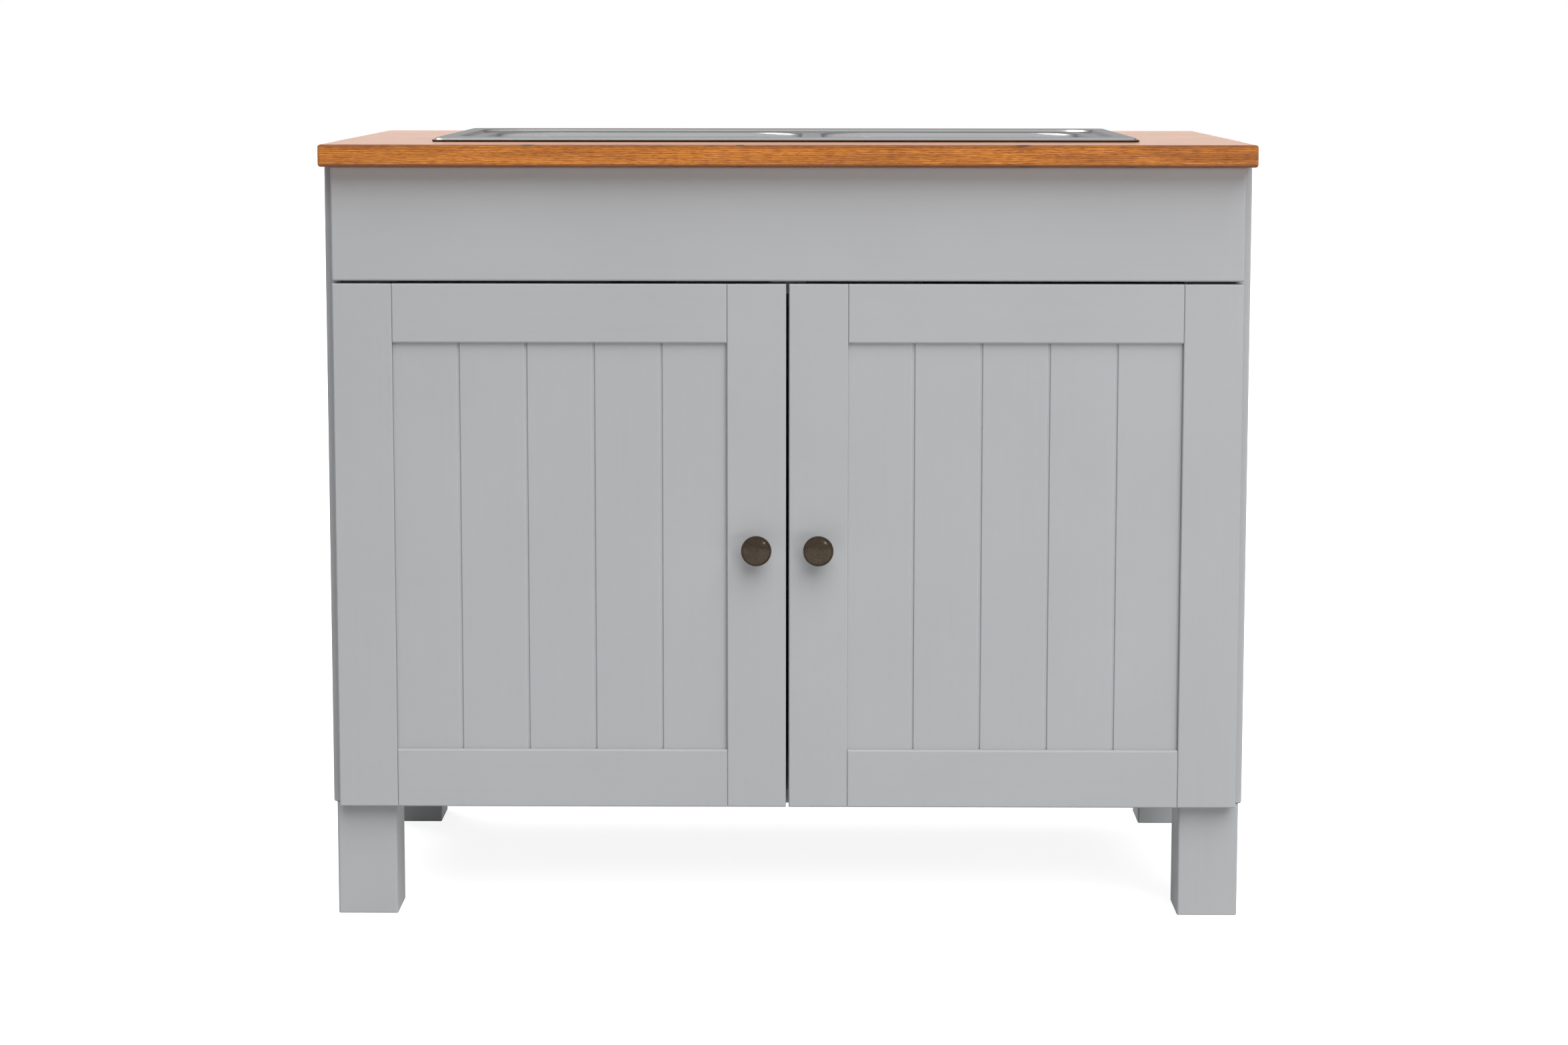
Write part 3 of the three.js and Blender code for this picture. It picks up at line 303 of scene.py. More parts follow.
def bronze(name):
    """Dark antique bronze: brown speckle over a nearly black ground, lacquered."""
    s = Shader(bpy.data.materials.new(name))
    speckle = s.noise(s.place, scale=900, detail=5, rough=0.75)
    cloud = s.noise(s.place, scale=160)
    base = s.ramp(speckle, (0.36, (0.018, 0.011, 0.0045)), (0.64, (0.056, 0.036, 0.017)))
    return s.surface(
        Base_Color=s.mix(0.5, base, s.ramp(cloud, (0.35, 0.6), (0.65, 1.25)), "MULTIPLY"),
        Metallic=0.85,
        Roughness=s.ramp(speckle, (0.3, 0.2), (0.7, 0.32)),
        Normal=s.bump(speckle, 0.05 * MM, 0.2),
        Coat_Weight=0.4,
        Coat_Roughness=0.1,
    )


def moulded(name, colour, rough, grain=1500):
    """Moulded plastic or foam with a fine texture."""
    s = Shader(bpy.data.materials.new(name))
    fine = s.noise(s.place, scale=grain, detail=2)
    cloud = s.noise(s.place, scale=40)
    return s.surface(
        Base_Color=s.mix(cloud, tuple(c * 0.9 for c in colour), colour),
        Roughness=s.ramp(fine, (0.3, rough - 0.06), (0.7, rough + 0.06)),
        Normal=s.bump(fine, 0.05 * MM, 0.5),
    )


PAINT_UPRIGHT = paint("paint_upright_grain", "Z")
PAINT_LEVEL = paint("paint_level_grain", "X")
BOARD = faced_board("grey_faced_board", (0.40, 0.405, 0.40), (0.47, 0.475, 0.47))
HARDBOARD = faced_board("grey_hardboard", (0.33, 0.335, 0.335), (0.40, 0.405, 0.40), 500)
PINE = pine("stained_pine")
STEEL = steel("satin_steel", relief=0)
STEEL_TURNED = steel("polished_steel", (300, 300, 300), 0.5, 0.62, (0.12, 0.2))
ZINC = steel("nickel_plate", (500, 500, 500), 0.46, 0.6, (0.22, 0.34), (1.0, 0.985, 0.955))
BRONZE = bronze("antique_bronze")
CATCH_PLASTIC = moulded("white_plastic", (0.80, 0.80, 0.79), 0.4)
NUT_PLASTIC = moulded("pale_plastic", (0.62, 0.62, 0.60), 0.42)
RUBBER = moulded("black_foam", (0.022, 0.022, 0.022), 0.8, 700)

# ---------------------------------------------------------------- mesh kit


def weigh_normals(made):
    """Keeps the large flat faces of a piece evenly shaded."""
    made.modifiers.new("normals", "WEIGHTED_NORMAL").keep_sharp = True


def finish_object(name, mesh, material, body, nodes, sharp=SHARP, weighted=True):
    """Smooth shading with crisp corners, a material, its body, and the nodes it replaces."""
    mesh.materials.append(material)
    mesh.shade_smooth()
    mesh.set_sharp_from_angle(angle=math.radians(sharp))
    made = bpy.data.objects.new(name, mesh)
    bpy.context.scene.collection.objects.link(made)
    if weighted:
        weigh_normals(made)
    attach(made, body)
    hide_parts(*nodes)
    return made


def dress(node, material):
    """A CAD node that stays, with its material."""
    slots = NODES[node].data.materials
    slots.clear()
    slots.append(material)


def mesh_from(name, points, faces):
    mesh = bpy.data.meshes.new(name)
    mesh.from_pydata([tuple(p) for p in points], [], faces)
    return mesh


def tidy_mesh(mesh):
    """The mesh with its double points merged and its faces turned outwards."""
    work = bmesh.new()
    work.from_mesh(mesh)
    bmesh.ops.remove_doubles(work, verts=work.verts, dist=1e-6)
    bmesh.ops.recalc_face_normals(work, faces=work.faces)
    work.to_mesh(mesh)
    work.free()
    return mesh


def lift(axis, u, v, w):
    """A point at w along the axis, in an outline's plane: YZ, XZ or XY for axis X, Y or Z."""
    return {"X": (w, u, v), "Y": (u, w, v), "Z": (u, v, w)}[axis]


def extruded(outline, axis, start, end, name="extruded"):
    """A flat outline run along an axis, as a mesh with sharp edges."""
    count = len(outline)
    points = [lift(axis, *p[:2], w) for w in (start, end) for p in outline]
    faces = [[i, (i + 1) % count, count + (i + 1) % count, count + i] for i in range(count)]
    faces += [list(range(count)), list(range(count, 2 * count))]
    return tidy_mesh(mesh_from(name, points, faces))


def prism(name, outline, axis, start, end, body, node, ends, corner=None, profile=0.5):
    """A painted piece: an outline run along its grain's axis, with rounded edges.

    Each outline point is (u, v, radius of its edge). ends holds the radius of the edges at the
    start and at the end, and corner that of those that run front to back there.
    """
    mesh = extruded(outline, axis, start, end, name)
    widest = max([r for *_, r in outline] + list(ends))
    weights = mesh.attributes.new("bevel_weight_edge", "FLOAT", "EDGE")
    keep = AXES[axis]
    for i, edge in enumerate(mesh.edges):
        a, b = (mesh.vertices[v].co for v in edge.vertices)
        if abs(a[keep] - b[keep]) > 1e-5:
            nearest = min(outline, key=lambda p: (Vector(lift(axis, *p[:2], a[keep])) - a).length)
            radius = nearest[2]
        else:
            run = [abs(p - q) for p, q in zip(a, b)]
            inward = corner is not None and run[1] == max(run)
            at_end = abs(a[keep] - start) >= abs(a[keep] - end)
            radius = corner if inward else ends[at_end]
        weights.data[i].value = radius / widest
    material = {"X": PAINT_LEVEL, "Z": PAINT_UPRIGHT}[axis]
    made = finish_object(name, mesh, material, body, [node], weighted=False)
    bevel = made.modifiers.new("ease", "BEVEL")
    bevel.limit_method = "WEIGHT"
    bevel.width = widest
    bevel.segments = 4
    bevel.profile = profile
    bevel.harden_normals = True
    bevel.use_clamp_overlap = True
    return made


def board(name, node, axis, radius, ends=None):
    """A painted box with all its edges rounded, run along its grain's axis."""
    low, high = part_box(node)
    w = AXES[axis]
    u, v = (i for i in range(3) if i != w)
    corners = [(low[u], low[v]), (high[u], low[v]), (high[u], high[v]), (low[u], high[v])]
    outline = [(a, b, radius) for a, b in corners]
    prism(name, outline, axis, low[w], high[w], "carcass", node, ends or (radius, radius))


def lathe(name, profile, centre, axis, steps=64):
    """A mesh turned about an axis through centre, from (radius, height) points in millimetres."""
    points, faces, rows = [], [], []
    side = {"Y": (0, 2, 1), "Z": (0, 1, 2), "X": (1, 2, 0)}[axis]
    for radius, height in profile:
        row = []
        for i in range(steps if radius else 1):
            angle = 2 * math.pi * i / steps
            p = [0.0, 0.0, 0.0]
            p[side[0]] = radius * MM * math.cos(angle)
            p[side[1]] = radius * MM * math.sin(angle)
            p[side[2]] = height * MM
            row.append(len(points))
            points.append(Vector(p) + Vector(centre))
        rows.append(row)
    for low, high in zip(rows, rows[1:]):
        for i in range(steps):
            j = (i + 1) % steps
            quad = [low[i % len(low)], low[j % len(low)], high[j % len(high)], high[i % len(high)]]
            face = list(dict.fromkeys(quad))
            if len(face) > 2:
                faces.append(face)
    return tidy_mesh(mesh_from(name, points, faces))


def rod(radius, start, end, centre, axis, steps):
    """A plain cylinder, with its sizes in millimetres."""
    profile = [(0, start), (radius, start), (radius, end), (0, end)]
    return lathe("rod", profile, centre, axis, steps)


def curve_points(*stops, steps=6):
    """A profile through straight stops and (control, end) curves, as a list of points."""
    points = [stops[0]]
    for stop in stops[1:]:
        if not isinstance(stop[0], tuple):
            points.append(stop)
            continue
        (cx, cy), (ex, ey) = stop
        sx, sy = points[-1]
        for i in range(1, steps + 1):
            t = i / steps
            a, b, c = (1 - t) ** 2, 2 * t * (1 - t), t * t
            points.append((a * sx + b * cx + c * ex, a * sy + b * cy + c * ey))
    return points


def arc(cx, cy, radius, start, end, steps):
    """Points on a circle, from one angle to another."""
    angles = [start + (end - start) * i / steps for i in range(steps + 1)]
    return [(cx + radius * math.cos(a), cy + radius * math.sin(a)) for a in angles]


def rounded_loop(box, outset, radius, corner=12, edge=10):
    """Points round a rectangle with round corners, counter-clockwise, its straights divided."""
    x0, y0, x1, y1 = box[0] - outset, box[1] - outset, box[2] + outset, box[3] + outset
    r = max(radius + outset, 0.3 * MM)
    centres = ((x1 - r, y0 + r), (x1 - r, y1 - r), (x0 + r, y1 - r), (x0 + r, y0 + r))
    arcs = [arc(*c, r, (k - 1) * QUARTER, k * QUARTER, corner) for k, c in enumerate(centres)]
    points = []
    for bend, following in zip(arcs, arcs[1:] + arcs[:1]):
        points += bend
        (ax, ay), (bx, by) = bend[-1], following[0]
        for i in range(1, edge):
            points.append((ax + (bx - ax) * i / edge, ay + (by - ay) * i / edge))
    return points


def footprint(node):
    """A node's box from above: its least x and y, then its greatest."""
    low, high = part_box(node)
    return low.x, low.y, high.x, high.y


class Skin:
    """Points and faces gathered into one mesh, from loops that share their points."""

    def __init__(self):
        self.points = []
        self.faces = []

    def loop(self, flat, z):
        first = len(self.points)
        self.points += [(x, y, z) for x, y in flat]
        return list(range(first, first + len(flat)))

    def chain(self, loops):
        """Bands of faces from each loop to the next."""
        for low, high in zip(loops, loops[1:]):
            count = len(low)
            for i in range(count):
                j = (i + 1) % count
                self.faces.append([low[i], low[j], high[j], high[i]])

    def fill(self, outer, *holes):
        """A flat face with holes, in triangles."""
        rings = [outer, *[list(reversed(h)) for h in holes]]
        flat = [i for ring in rings for i in ring]
        vectors = [[Vector(self.points[i]) for i in ring] for ring in rings]
        self.faces += [[flat[i] for i in t] for t in tessellate_polygon(vectors)]

    def mesh(self, name):
        return tidy_mesh(mesh_from(name, self.points, self.faces))


def gathered(name, parts, matrix=None):
    """Several closed meshes as one, moved by a matrix."""
    work = bmesh.new()
    for part in parts:
        work.from_mesh(part)
        bpy.data.meshes.remove(part)
    if matrix is not None:
        bmesh.ops.transform(work, matrix=matrix, verts=work.verts)
        bmesh.ops.recalc_face_normals(work, faces=work.faces)
    mesh = bpy.data.meshes.new(name)
    work.to_mesh(mesh)
    work.free()
    return mesh


def evaluated(made):
    """A piece's mesh with its modifiers applied."""
    depsgraph = bpy.context.evaluated_depsgraph_get()
    return bpy.data.meshes.new_from_object(made.evaluated_get(depsgraph))


def pierced(mesh, cutters):
    """The mesh with every cutter taken out of it."""
    whole = bpy.data.objects.new("whole", mesh)
    tools = bpy.data.objects.new("tools", gathered("cutters", cutters))
    for made in (whole, tools):
        bpy.context.scene.collection.objects.link(made)
    boolean = whole.modifiers.new("cut", "BOOLEAN")
    boolean.object = tools
    boolean.solver = "EXACT"
    result = evaluated(whole)
    bpy.data.objects.remove(whole)
    bpy.data.objects.remove(tools)
    return result


# ---------------------------------------------------------------- worktop, fascia, carcass, legs


def build_worktop():
    low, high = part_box("worktop")
    ease, steps = 3 * MM, 5  # the radius of its edges, and the bands that round each of them
    divided = (6, 12)  # points on each corner and on each straight
    skin = Skin()
    loops = []
    for level, sign in ((low.z, -1), (high.z, 1)):
        for i in range(steps + 1):
            angle = (i if sign > 0 else steps - i) * QUARTER / steps
            inset = ease * (1 - math.cos(angle))
            flat = rounded_loop(footprint("worktop"), -inset, ease * 1.2, *divided)
            loops.append(skin.loop(flat, level - sign * ease * (1 - math.sin(angle))))
    hole = rounded_loop(footprint("sink_deck"), -12 * MM, 26 * MM, *divided)
    loops += [skin.loop(hole, high.z), skin.loop(hole, low.z)]
    skin.chain(loops + loops[:1])
    mesh = skin.mesh("worktop_board")
    finish_object("worktop_board", mesh, PINE, "carcass", ["worktop"])


def build_carcass():
    r = 2.5 * MM  # the radius of the boards' edges
    board("fascia_board", "fascia", "X", r)
    back_low, back_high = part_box("back_panel")
    slack = 0.25 * MM  # room for the back panel in its groove
    y0, y1 = back_low.y - slack, back_high.y + slack
    for side, s in SIDES:
        node = "side_panel_" + side
        low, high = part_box(node)
        outer, inner = (low.x, high.x) if s < 0 else (high.x, low.x)
        floor = inner + s * 6 * MM  # of the groove
        outline = [
            (outer, low.y, r), (inner, low.y, r), (inner, y0, 0.2 * MM), (floor, y0, 0),
            (floor, y1, 0), (inner, y1, 0.2 * MM), (inner, high.y, r), (outer, high.y, r),
        ]
        prism("panel_" + side, outline, "Z", low.z, high.z, "carcass", node, (r, r))
        for end in ENDS:
            foot_and_top = (1.5 * MM, 0.3 * MM)
            board(f"post_{end}_{side}", f"leg_{end}_{side}", "Z", 3 * MM, foot_and_top)
    for node in ("base_panel", "front_rail", "rear_rail"):
        dress(node, BOARD)
    dress("back_panel", HARDBOARD)
    dress("magnetic_catch", CATCH_PLASTIC)


# ---------------------------------------------------------------- doors

CUP_INSET = 20.5 * MM  # from the door's edge to the middle of its hinges' cups
CUP_BORE = (17.75, -11.55, 1)  # its radius, its floor and its mouth, in mm from the door's back
GROOVES, PITCH = 4, 73 * MM
V_GROOVE = (  # points across the groove: place, depth, and the radius of the edge there, in mm
    (-2.2, 0, 1.2), (-0.5, 1.9, 0.2), (0.5, 1.9, 0.2), (1.6, 0, 0.5),
)


def build_door(side, s):
    body = side + "_door"
    prefix = body + "_"
    low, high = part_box(prefix + "outer_stile")
    width = high.x - low.x
    front, back = low.y, high.y
    groove = 9 * MM  # depth of the frame's grooves, which hold the panel and the rails' tongues
    g0, g1 = front + 5.25 * MM, front + 13.75 * MM  # the two sides of a groove
    # Radii: the frame's outer edges, the rails' edges round the panel, and the joints' edges.
    big, small, joint = 1.7 * MM, 2.1 * MM, 1.5 * MM
    easing = {"corner": 0.5 * MM, "profile": 0.38}  # between a chamfer and a round

    def stile(which, outer, turn, z0, z1):
        """turn is +1 where the frame's opening lies towards +X."""
        inner = outer + turn * width
        deep = inner - turn * groove
        outline = [
            (outer, front, big), (inner, front, joint), (inner, g0, 0), (deep, g0, 0),
            (deep, g1, 0), (inner, g1, 0), (inner, back, joint), (outer, back, big),
        ]
        return prism(f"{prefix}{which}_board", outline, "Z", z0, z1, body,
                     f"{prefix}{which}_stile", (big, big), **easing)

    outer = low.x if s < 0 else high.x
    upright = stile("outer", outer, -s, low.z, high.z)
    cups = []
    for level in LEVELS:
        cup_low, cup_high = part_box(f"{side}_{level}_hinge_cup")
        centre = (outer - s * CUP_INSET, back, (cup_low.z + cup_high.z) / 2)
        cups.append(rod(*CUP_BORE, centre, "Y", 64))
    bored(upright, cups)
    low_in, high_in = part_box(prefix + "inner_stile")
    inner = high_in.x if s < 0 else low_in.x
    stile("inner", inner, s, low_in.z, high_in.z)
    opening = sorted((outer - s * width, inner + s * width))

    for which, turn in (("bottom", 1), ("top", -1)):
        z = low.z if turn > 0 else high.z
        mouth = z + turn * width
        deep = mouth - turn * groove
        outline = [
            (front, z, big), (back, z, big), (back, mouth, small), (g1, mouth, 0), (g1, deep, 0),
            (g0, deep, 0), (g0, mouth, 0), (front, mouth, small),
        ]
        prism(f"{prefix}{which}_board", outline, "X", *opening, body, f"{prefix}{which}_rail",
              (joint, joint), **easing)

    low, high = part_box(prefix + "panel")
    middle = (opening[0] + opening[1]) / 2
    outline = [(low.x, low.y, 0)]
    for i in range(GROOVES):
        x = middle + (i - (GROOVES - 1) / 2) * PITCH
        for across, depth, r in V_GROOVE:
            outline.append((x + across * MM, low.y + depth * MM, r * MM))
    outline += [(high.x, low.y, 0), (high.x, high.y, 0), (low.x, high.y, 0)]
    prism(prefix + "grooved_board", outline, "Z", low.z, high.z, body, prefix + "panel", (0, 0))


def bored(made, cutters):
    """Cuts holes in a finished piece."""
    mesh = evaluated(made)
    made.modifiers.clear()
    made.data = pierced(mesh, cutters)
    made.data.set_sharp_from_angle(angle=math.radians(SHARP))
    weigh_normals(made)


def build_knob(side):
    low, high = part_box(side + "_knob")
    centre = ((low.x + high.x) / 2, high.y, (low.z + high.z) / 2)
    radius = (high.x - low.x) / 2 / MM
    face = -(high.y - low.y) / MM
    rim = face + 2.6
    neck = face * 0.36
    profile = curve_points(
        (0, face),
        ((radius * 0.5, face), (radius * 0.87, rim)),  # a shallow dome
        (radius * 0.882, rim + 0.4),  # a thin groove round it
        (radius * 0.902, rim + 0.4),
        (radius * 0.914, rim + 0.05),
        ((radius * 0.945, rim - 0.3), (radius * 0.975, rim + 0.1)),  # a rolled rim
        ((radius, rim + 0.6), (radius, rim + 2)),
        ((radius, rim + 5), (radius * 0.68, rim + 7.5)),  # the back of the head
        ((6.6, neck - 3), (6, neck)),
        ((6, -3), (8.2, -2)),  # the foot
        (8.2, -0.3),
        (7.9, 0),
        (0, 0),
        steps=12,
    )
    mesh = lathe(side + "_turned_knob", profile, centre, "Y")
    finish_object(side + "_turned_knob", mesh, BRONZE, side + "_door", [side + "_knob"],
                  sharp=50, weighted=False)


# ---------------------------------------------------------------- hinges, screws and bolts

TO_Y = Matrix.Rotation(-QUARTER, 4, "X")  # from +Z to +Y
TO_X = Matrix.Rotation(QUARTER, 4, "Y")  # from +Z to +X
SCREW = (3.6, 1.4)  # a screw's head: radius and height, in mm
PIN_ACROSS, PIN_BEHIND = 483 * MM, 39 * MM  # from the cabinet's middle and the worktop's front


def pressed(outline, axis, start, end):
    """An extruded outline with its sizes in millimetres."""
    return extruded([(u * MM, v * MM) for u, v in outline], axis, start * MM, end * MM)


def fitting(name, parts, matrix, body, node):
    """Plated metal parts in one piece, with slightly worn edges."""
    mesh = gathered(name, parts, matrix)
    made = finish_object(name, mesh, ZINC, body, [node], weighted=False)
    bevel = made.modifiers.new("ease", "BEVEL")
    bevel.width = 0.25 * MM
    bevel.segments = 2
    bevel.angle_limit = math.radians(50)
    bevel.harden_normals = True


def screw(head, rise, shank=0, thread=0):
    """A pan head with a cross recess on z = 0, over a shank that runs down from it, in mm."""
    crown = [(head, rise * 0.3), ((head * 0.95, rise * 0.8), (head * 0.55, rise)), (0, rise)]
    if shank:
        stem = [(0, -shank), (thread * 0.6, -shank), (thread, -shank + thread), (thread, 0),
                (head, 0)]
    else:
        stem = [(0, -0.4), (head * 0.9, -0.4), (head, 0)]
    mesh = lathe("screw", curve_points(*stem, *crown), (0, 0, 0), "Z", 28)
    a, b = head * 0.13, head * 0.58  # the recess's half width and reach
    cross = [(a, a), (a, b), (-a, b), (-a, a), (-b, a), (-b, -a), (-a, -a), (-a, -b), (a, -b),
             (a, -a), (b, -a), (b, a)]
    return pierced(mesh, [pressed(cross, "Z", rise * 0.25, rise * 2)])


def driven(place, turn):
    """A screw's head, turned and moved to a place in mm."""
    mesh = screw(*SCREW)
    mesh.transform(Matrix.Translation(Vector(place) * MM) @ turn)
    return mesh


def build_hinge(side, s, level):
    """A concealed hinge, drawn in mm about its pin: +x away from the hinged edge, +y back."""
    node = f"{side}_{level}_hinge_"
    low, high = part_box(node + "arm")
    pin = Vector((s * PIN_ACROSS, FRONT + PIN_BEHIND, (low.z + high.z) / 2))
    matrix = Matrix.Translation(pin) @ Matrix.Diagonal((-s, 1, 1, 1))

    # The cup, its two wings with their screws, and the pin.
    middle, radius = 13, 17.5
    flange = (8.2, 9.2)  # the wings' two faces
    cup = curve_points(
        (0, -3.3), (15.7, -3.3), ((radius, -3.3), (radius, -1.5)), (radius, flange[0]),
        (17.9, flange[0]), (17.9, flange[1]), (16.8, flange[1]),
        ((16.5, flange[1]), (16.5, 8.8)), (16.5, -0.4), ((16.4, -2.2), (14.6, -2.3)), (0, -2.3),
    )
    parts = [lathe("cup", cup, (middle * MM, 0, 0), "Y", 56)]
    wing, tip = 11.25, 7  # the wings' middle and the radius of their ends
    for up in (-1, 1):
        outline = []
        for i in range(13):
            x = wing - tip + 2 * tip * i / 12
            outline.append((x, math.sqrt(17.7**2 - (x - middle) ** 2)))  # just inside the rim
        outline += arc(wing, 20, tip, 0, math.pi, 16)
        parts.append(pressed([(x, up * z) for x, z in outline], "Y", *flange))
        parts.append(driven((wing, flange[1], up * 20.6), TO_Y))
    parts.append(rod(1.2, -10.9, 10.9, (0, 0, 0), "Z", 20))
    fitting(node + "cup_pressed", parts, matrix, side + "_door", node + "cup")

    # The arm: an eye on the pin, a curled neck, and a channel with two screws.
    eye, bore, thick, reach = 2.2, 1.35, 1.8, 13.5
    start, end, half = 14, 74, thick / 2
    curl, inner_curl, overlap = 3.4, 1.4, 3
    outline = arc(0, 0, eye, math.radians(27), math.radians(333), 24)
    outline += [(reach - 2.4, -half)]
    outline += arc(reach + half - curl, curl - half, curl, -QUARTER, 0, 8)[1:]
    outline += [(reach + half, start + overlap), (reach - half, start + overlap)]
    outline += arc(reach - half - inner_curl, half + inner_curl, inner_curl, 0, -QUARTER, 6)
    neck = pierced(pressed(outline, "Z", -5, 5), [rod(bore, -6, 6, (0, 0, 0), "Z", 24)])
    web, foot = reach + 1, 3.7  # the channel's closed side and its open edges
    wide, inside, fold = 7.5, 6.3, 1.8  # half widths and the radius of the folds
    shell = [(foot, -wide), *arc(web - fold, fold - wide, fold, -QUARTER, 0, 6)]
    shell += [(u, -v) for u, v in reversed(shell)]
    shell += [(foot, inside), (web - 2, inside), (web - 2, -inside), (foot, -inside)]
    parts = [neck, pressed(shell, "Y", start, end)]
    parts += [driven((web, along, 0), TO_X) for along in (33, 61)]
    fitting(node + "arm_bent", parts, matrix, "carcass", node + "arm")

    # The mounting plate: rounded wings with screws, and the block under the arm.
    wings = rounded_loop((36, -26, 60, 26), 0, 6, 8, 1)
    block = rounded_loop((27.5, -6.05, 68.5, 6.05), 0, 1.2, 4, 1)
    parts = [pressed(wings, "X", 1.2, 2.7), pressed(block, "X", 2.6, 12.3)]
    parts += [driven((2.7, 48, up * 18), TO_X) for up in (-1, 1)]
    fitting(node + "plate_cast", parts, matrix, "carcass", node + "plate")


def build_fittings(side, s):
    for level in LEVELS:
        build_hinge(side, s, level)
    node = side + "_knob_screw"
    low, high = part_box(node)
    rise = SCREW[1] * MM
    length = (high.y - low.y - rise) / MM
    place = ((low.x + high.x) / 2, high.y - rise, (low.z + high.z) / 2)
    fitting(side + "_knob_bolt", [screw(*SCREW, length, 2)], Matrix.Translation(place) @ TO_Y,
            side + "_door", node)
    dress(side + "_strike_plate", ZINC)
    head, rise, thread = 8, 4, 4  # the legs' bolts, in mm
    for end in ENDS:
        node = f"leg_bolt_{end}_{side}"
        low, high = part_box(node)
        seat = high.z - rise * MM
        tip = (low.z - seat) / MM
        profile = curve_points(
            (0, tip), (thread - 1, tip), (thread, tip + 1), (thread, 0), (head, 0), (head, 1.6),
            ((head - 0.6, 3.4), (4, rise)), (0, rise),
        )
        bolt = lathe("bolt", profile, (0, 0, 0), "Z", 40)
        socket = pressed(arc(0, 0, 2.5, 0, math.radians(300), 5), "Z", 1.4, 6)
        place = ((low.x + high.x) / 2, (low.y + high.y) / 2, seat)
        fitting(f"socket_bolt_{end}_{side}", [pierced(bolt, [socket])],
                Matrix.Translation(place), "carcass", node)


# ---------------------------------------------------------------- sink

# Radii of the corners seen from above: of the deck, of its sunk field and of the bowls.
SINK_CORNER, FIELD_CORNER, BOWL_CORNER = 14 * MM, 42 * MM, 65 * MM
MARGINS = (27 * MM, 50 * MM, 53 * MM)  # from the deck's edge to its field: sides, front, rear
BOWL_DEPTH = 150 * MM


def build_sink():
    outline = footprint("sink_deck")
    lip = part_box("worktop")[1].z + 0.2 * MM  # the deck's least height over the wood
    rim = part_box("sink_deck")[1].z
    shoulder = 2.7 * MM
    sunk = 3 * MM  # how far the field lies below the rim
    x0, y0, x1, y1 = outline
    beside, before, behind = MARGINS
    recess = (x0 + beside, y0 + before, x1 - beside, y1 - behind)
    skin = Skin()
    rows = []

    def row(box, outset, radius, z):
        rows.append(skin.loop(rounded_loop(box, outset, radius), z))

    row(outline, -0.4 * MM, SINK_CORNER, lip + 1.3 * MM)
    for i in range(6):  # the rim's outer shoulder
        angle = i * QUARTER / 5
        inset = 5 * MM * math.sin(angle) ** 1.6
        row(outline, -inset, SINK_CORNER, rim - shoulder * math.cos(angle))
    row(outline, -5.8 * MM, SINK_CORNER, rim)
    row(recess, 7 * MM, FIELD_CORNER, rim)
    row(recess, 6.2 * MM, FIELD_CORNER, rim)
    for share in (0.1, 0.28, 0.5, 0.72, 0.9):  # an S-shaped slope down to the sunk field
        drop = share * share * (3 - 2 * share)
        row(recess, 5.2 * MM * (1 - share), FIELD_CORNER, rim - sunk * drop)
    row(recess, -1 * MM, FIELD_CORNER, rim - sunk)
    row(recess, -1.8 * MM, FIELD_CORNER, rim - sunk)
    skin.chain(rows)
    skin.fill(rows[-1], *[build_bowl(skin, side, rim - sunk) for side, _ in SIDES])
    made = finish_object("sink_sheet", skin.mesh("sink_sheet"), STEEL, "carcass",
                         ["sink_deck", "left_bowl", "right_bowl"], sharp=60, weighted=False)
    sheet = made.modifiers.new("sheet", "SOLIDIFY")
    sheet.thickness = 0.9 * MM
    sheet.offset = -1
    weigh_normals(made)

    seal = Skin()
    top, foot = lip + 0.9 * MM, lip - 0.15 * MM
    sizes = ((-12, foot), (-12, top), (-1.8, top), (-1.2, top - 0.3 * MM), (-1, foot + 0.3 * MM),
             (-1.4, foot))
    rings = [seal.loop(rounded_loop(outline, out * MM, SINK_CORNER), z) for out, z in sizes]
    seal.chain(rings + rings[:1])
    finish_object("foam_seal", seal.mesh("foam_seal"), RUBBER, "carcass",
                  ["sink_seal"], weighted=False)
    for clip in ("left", "right", "front_left", "front_right"):
        dress("sink_clip_" + clip, ZINC)


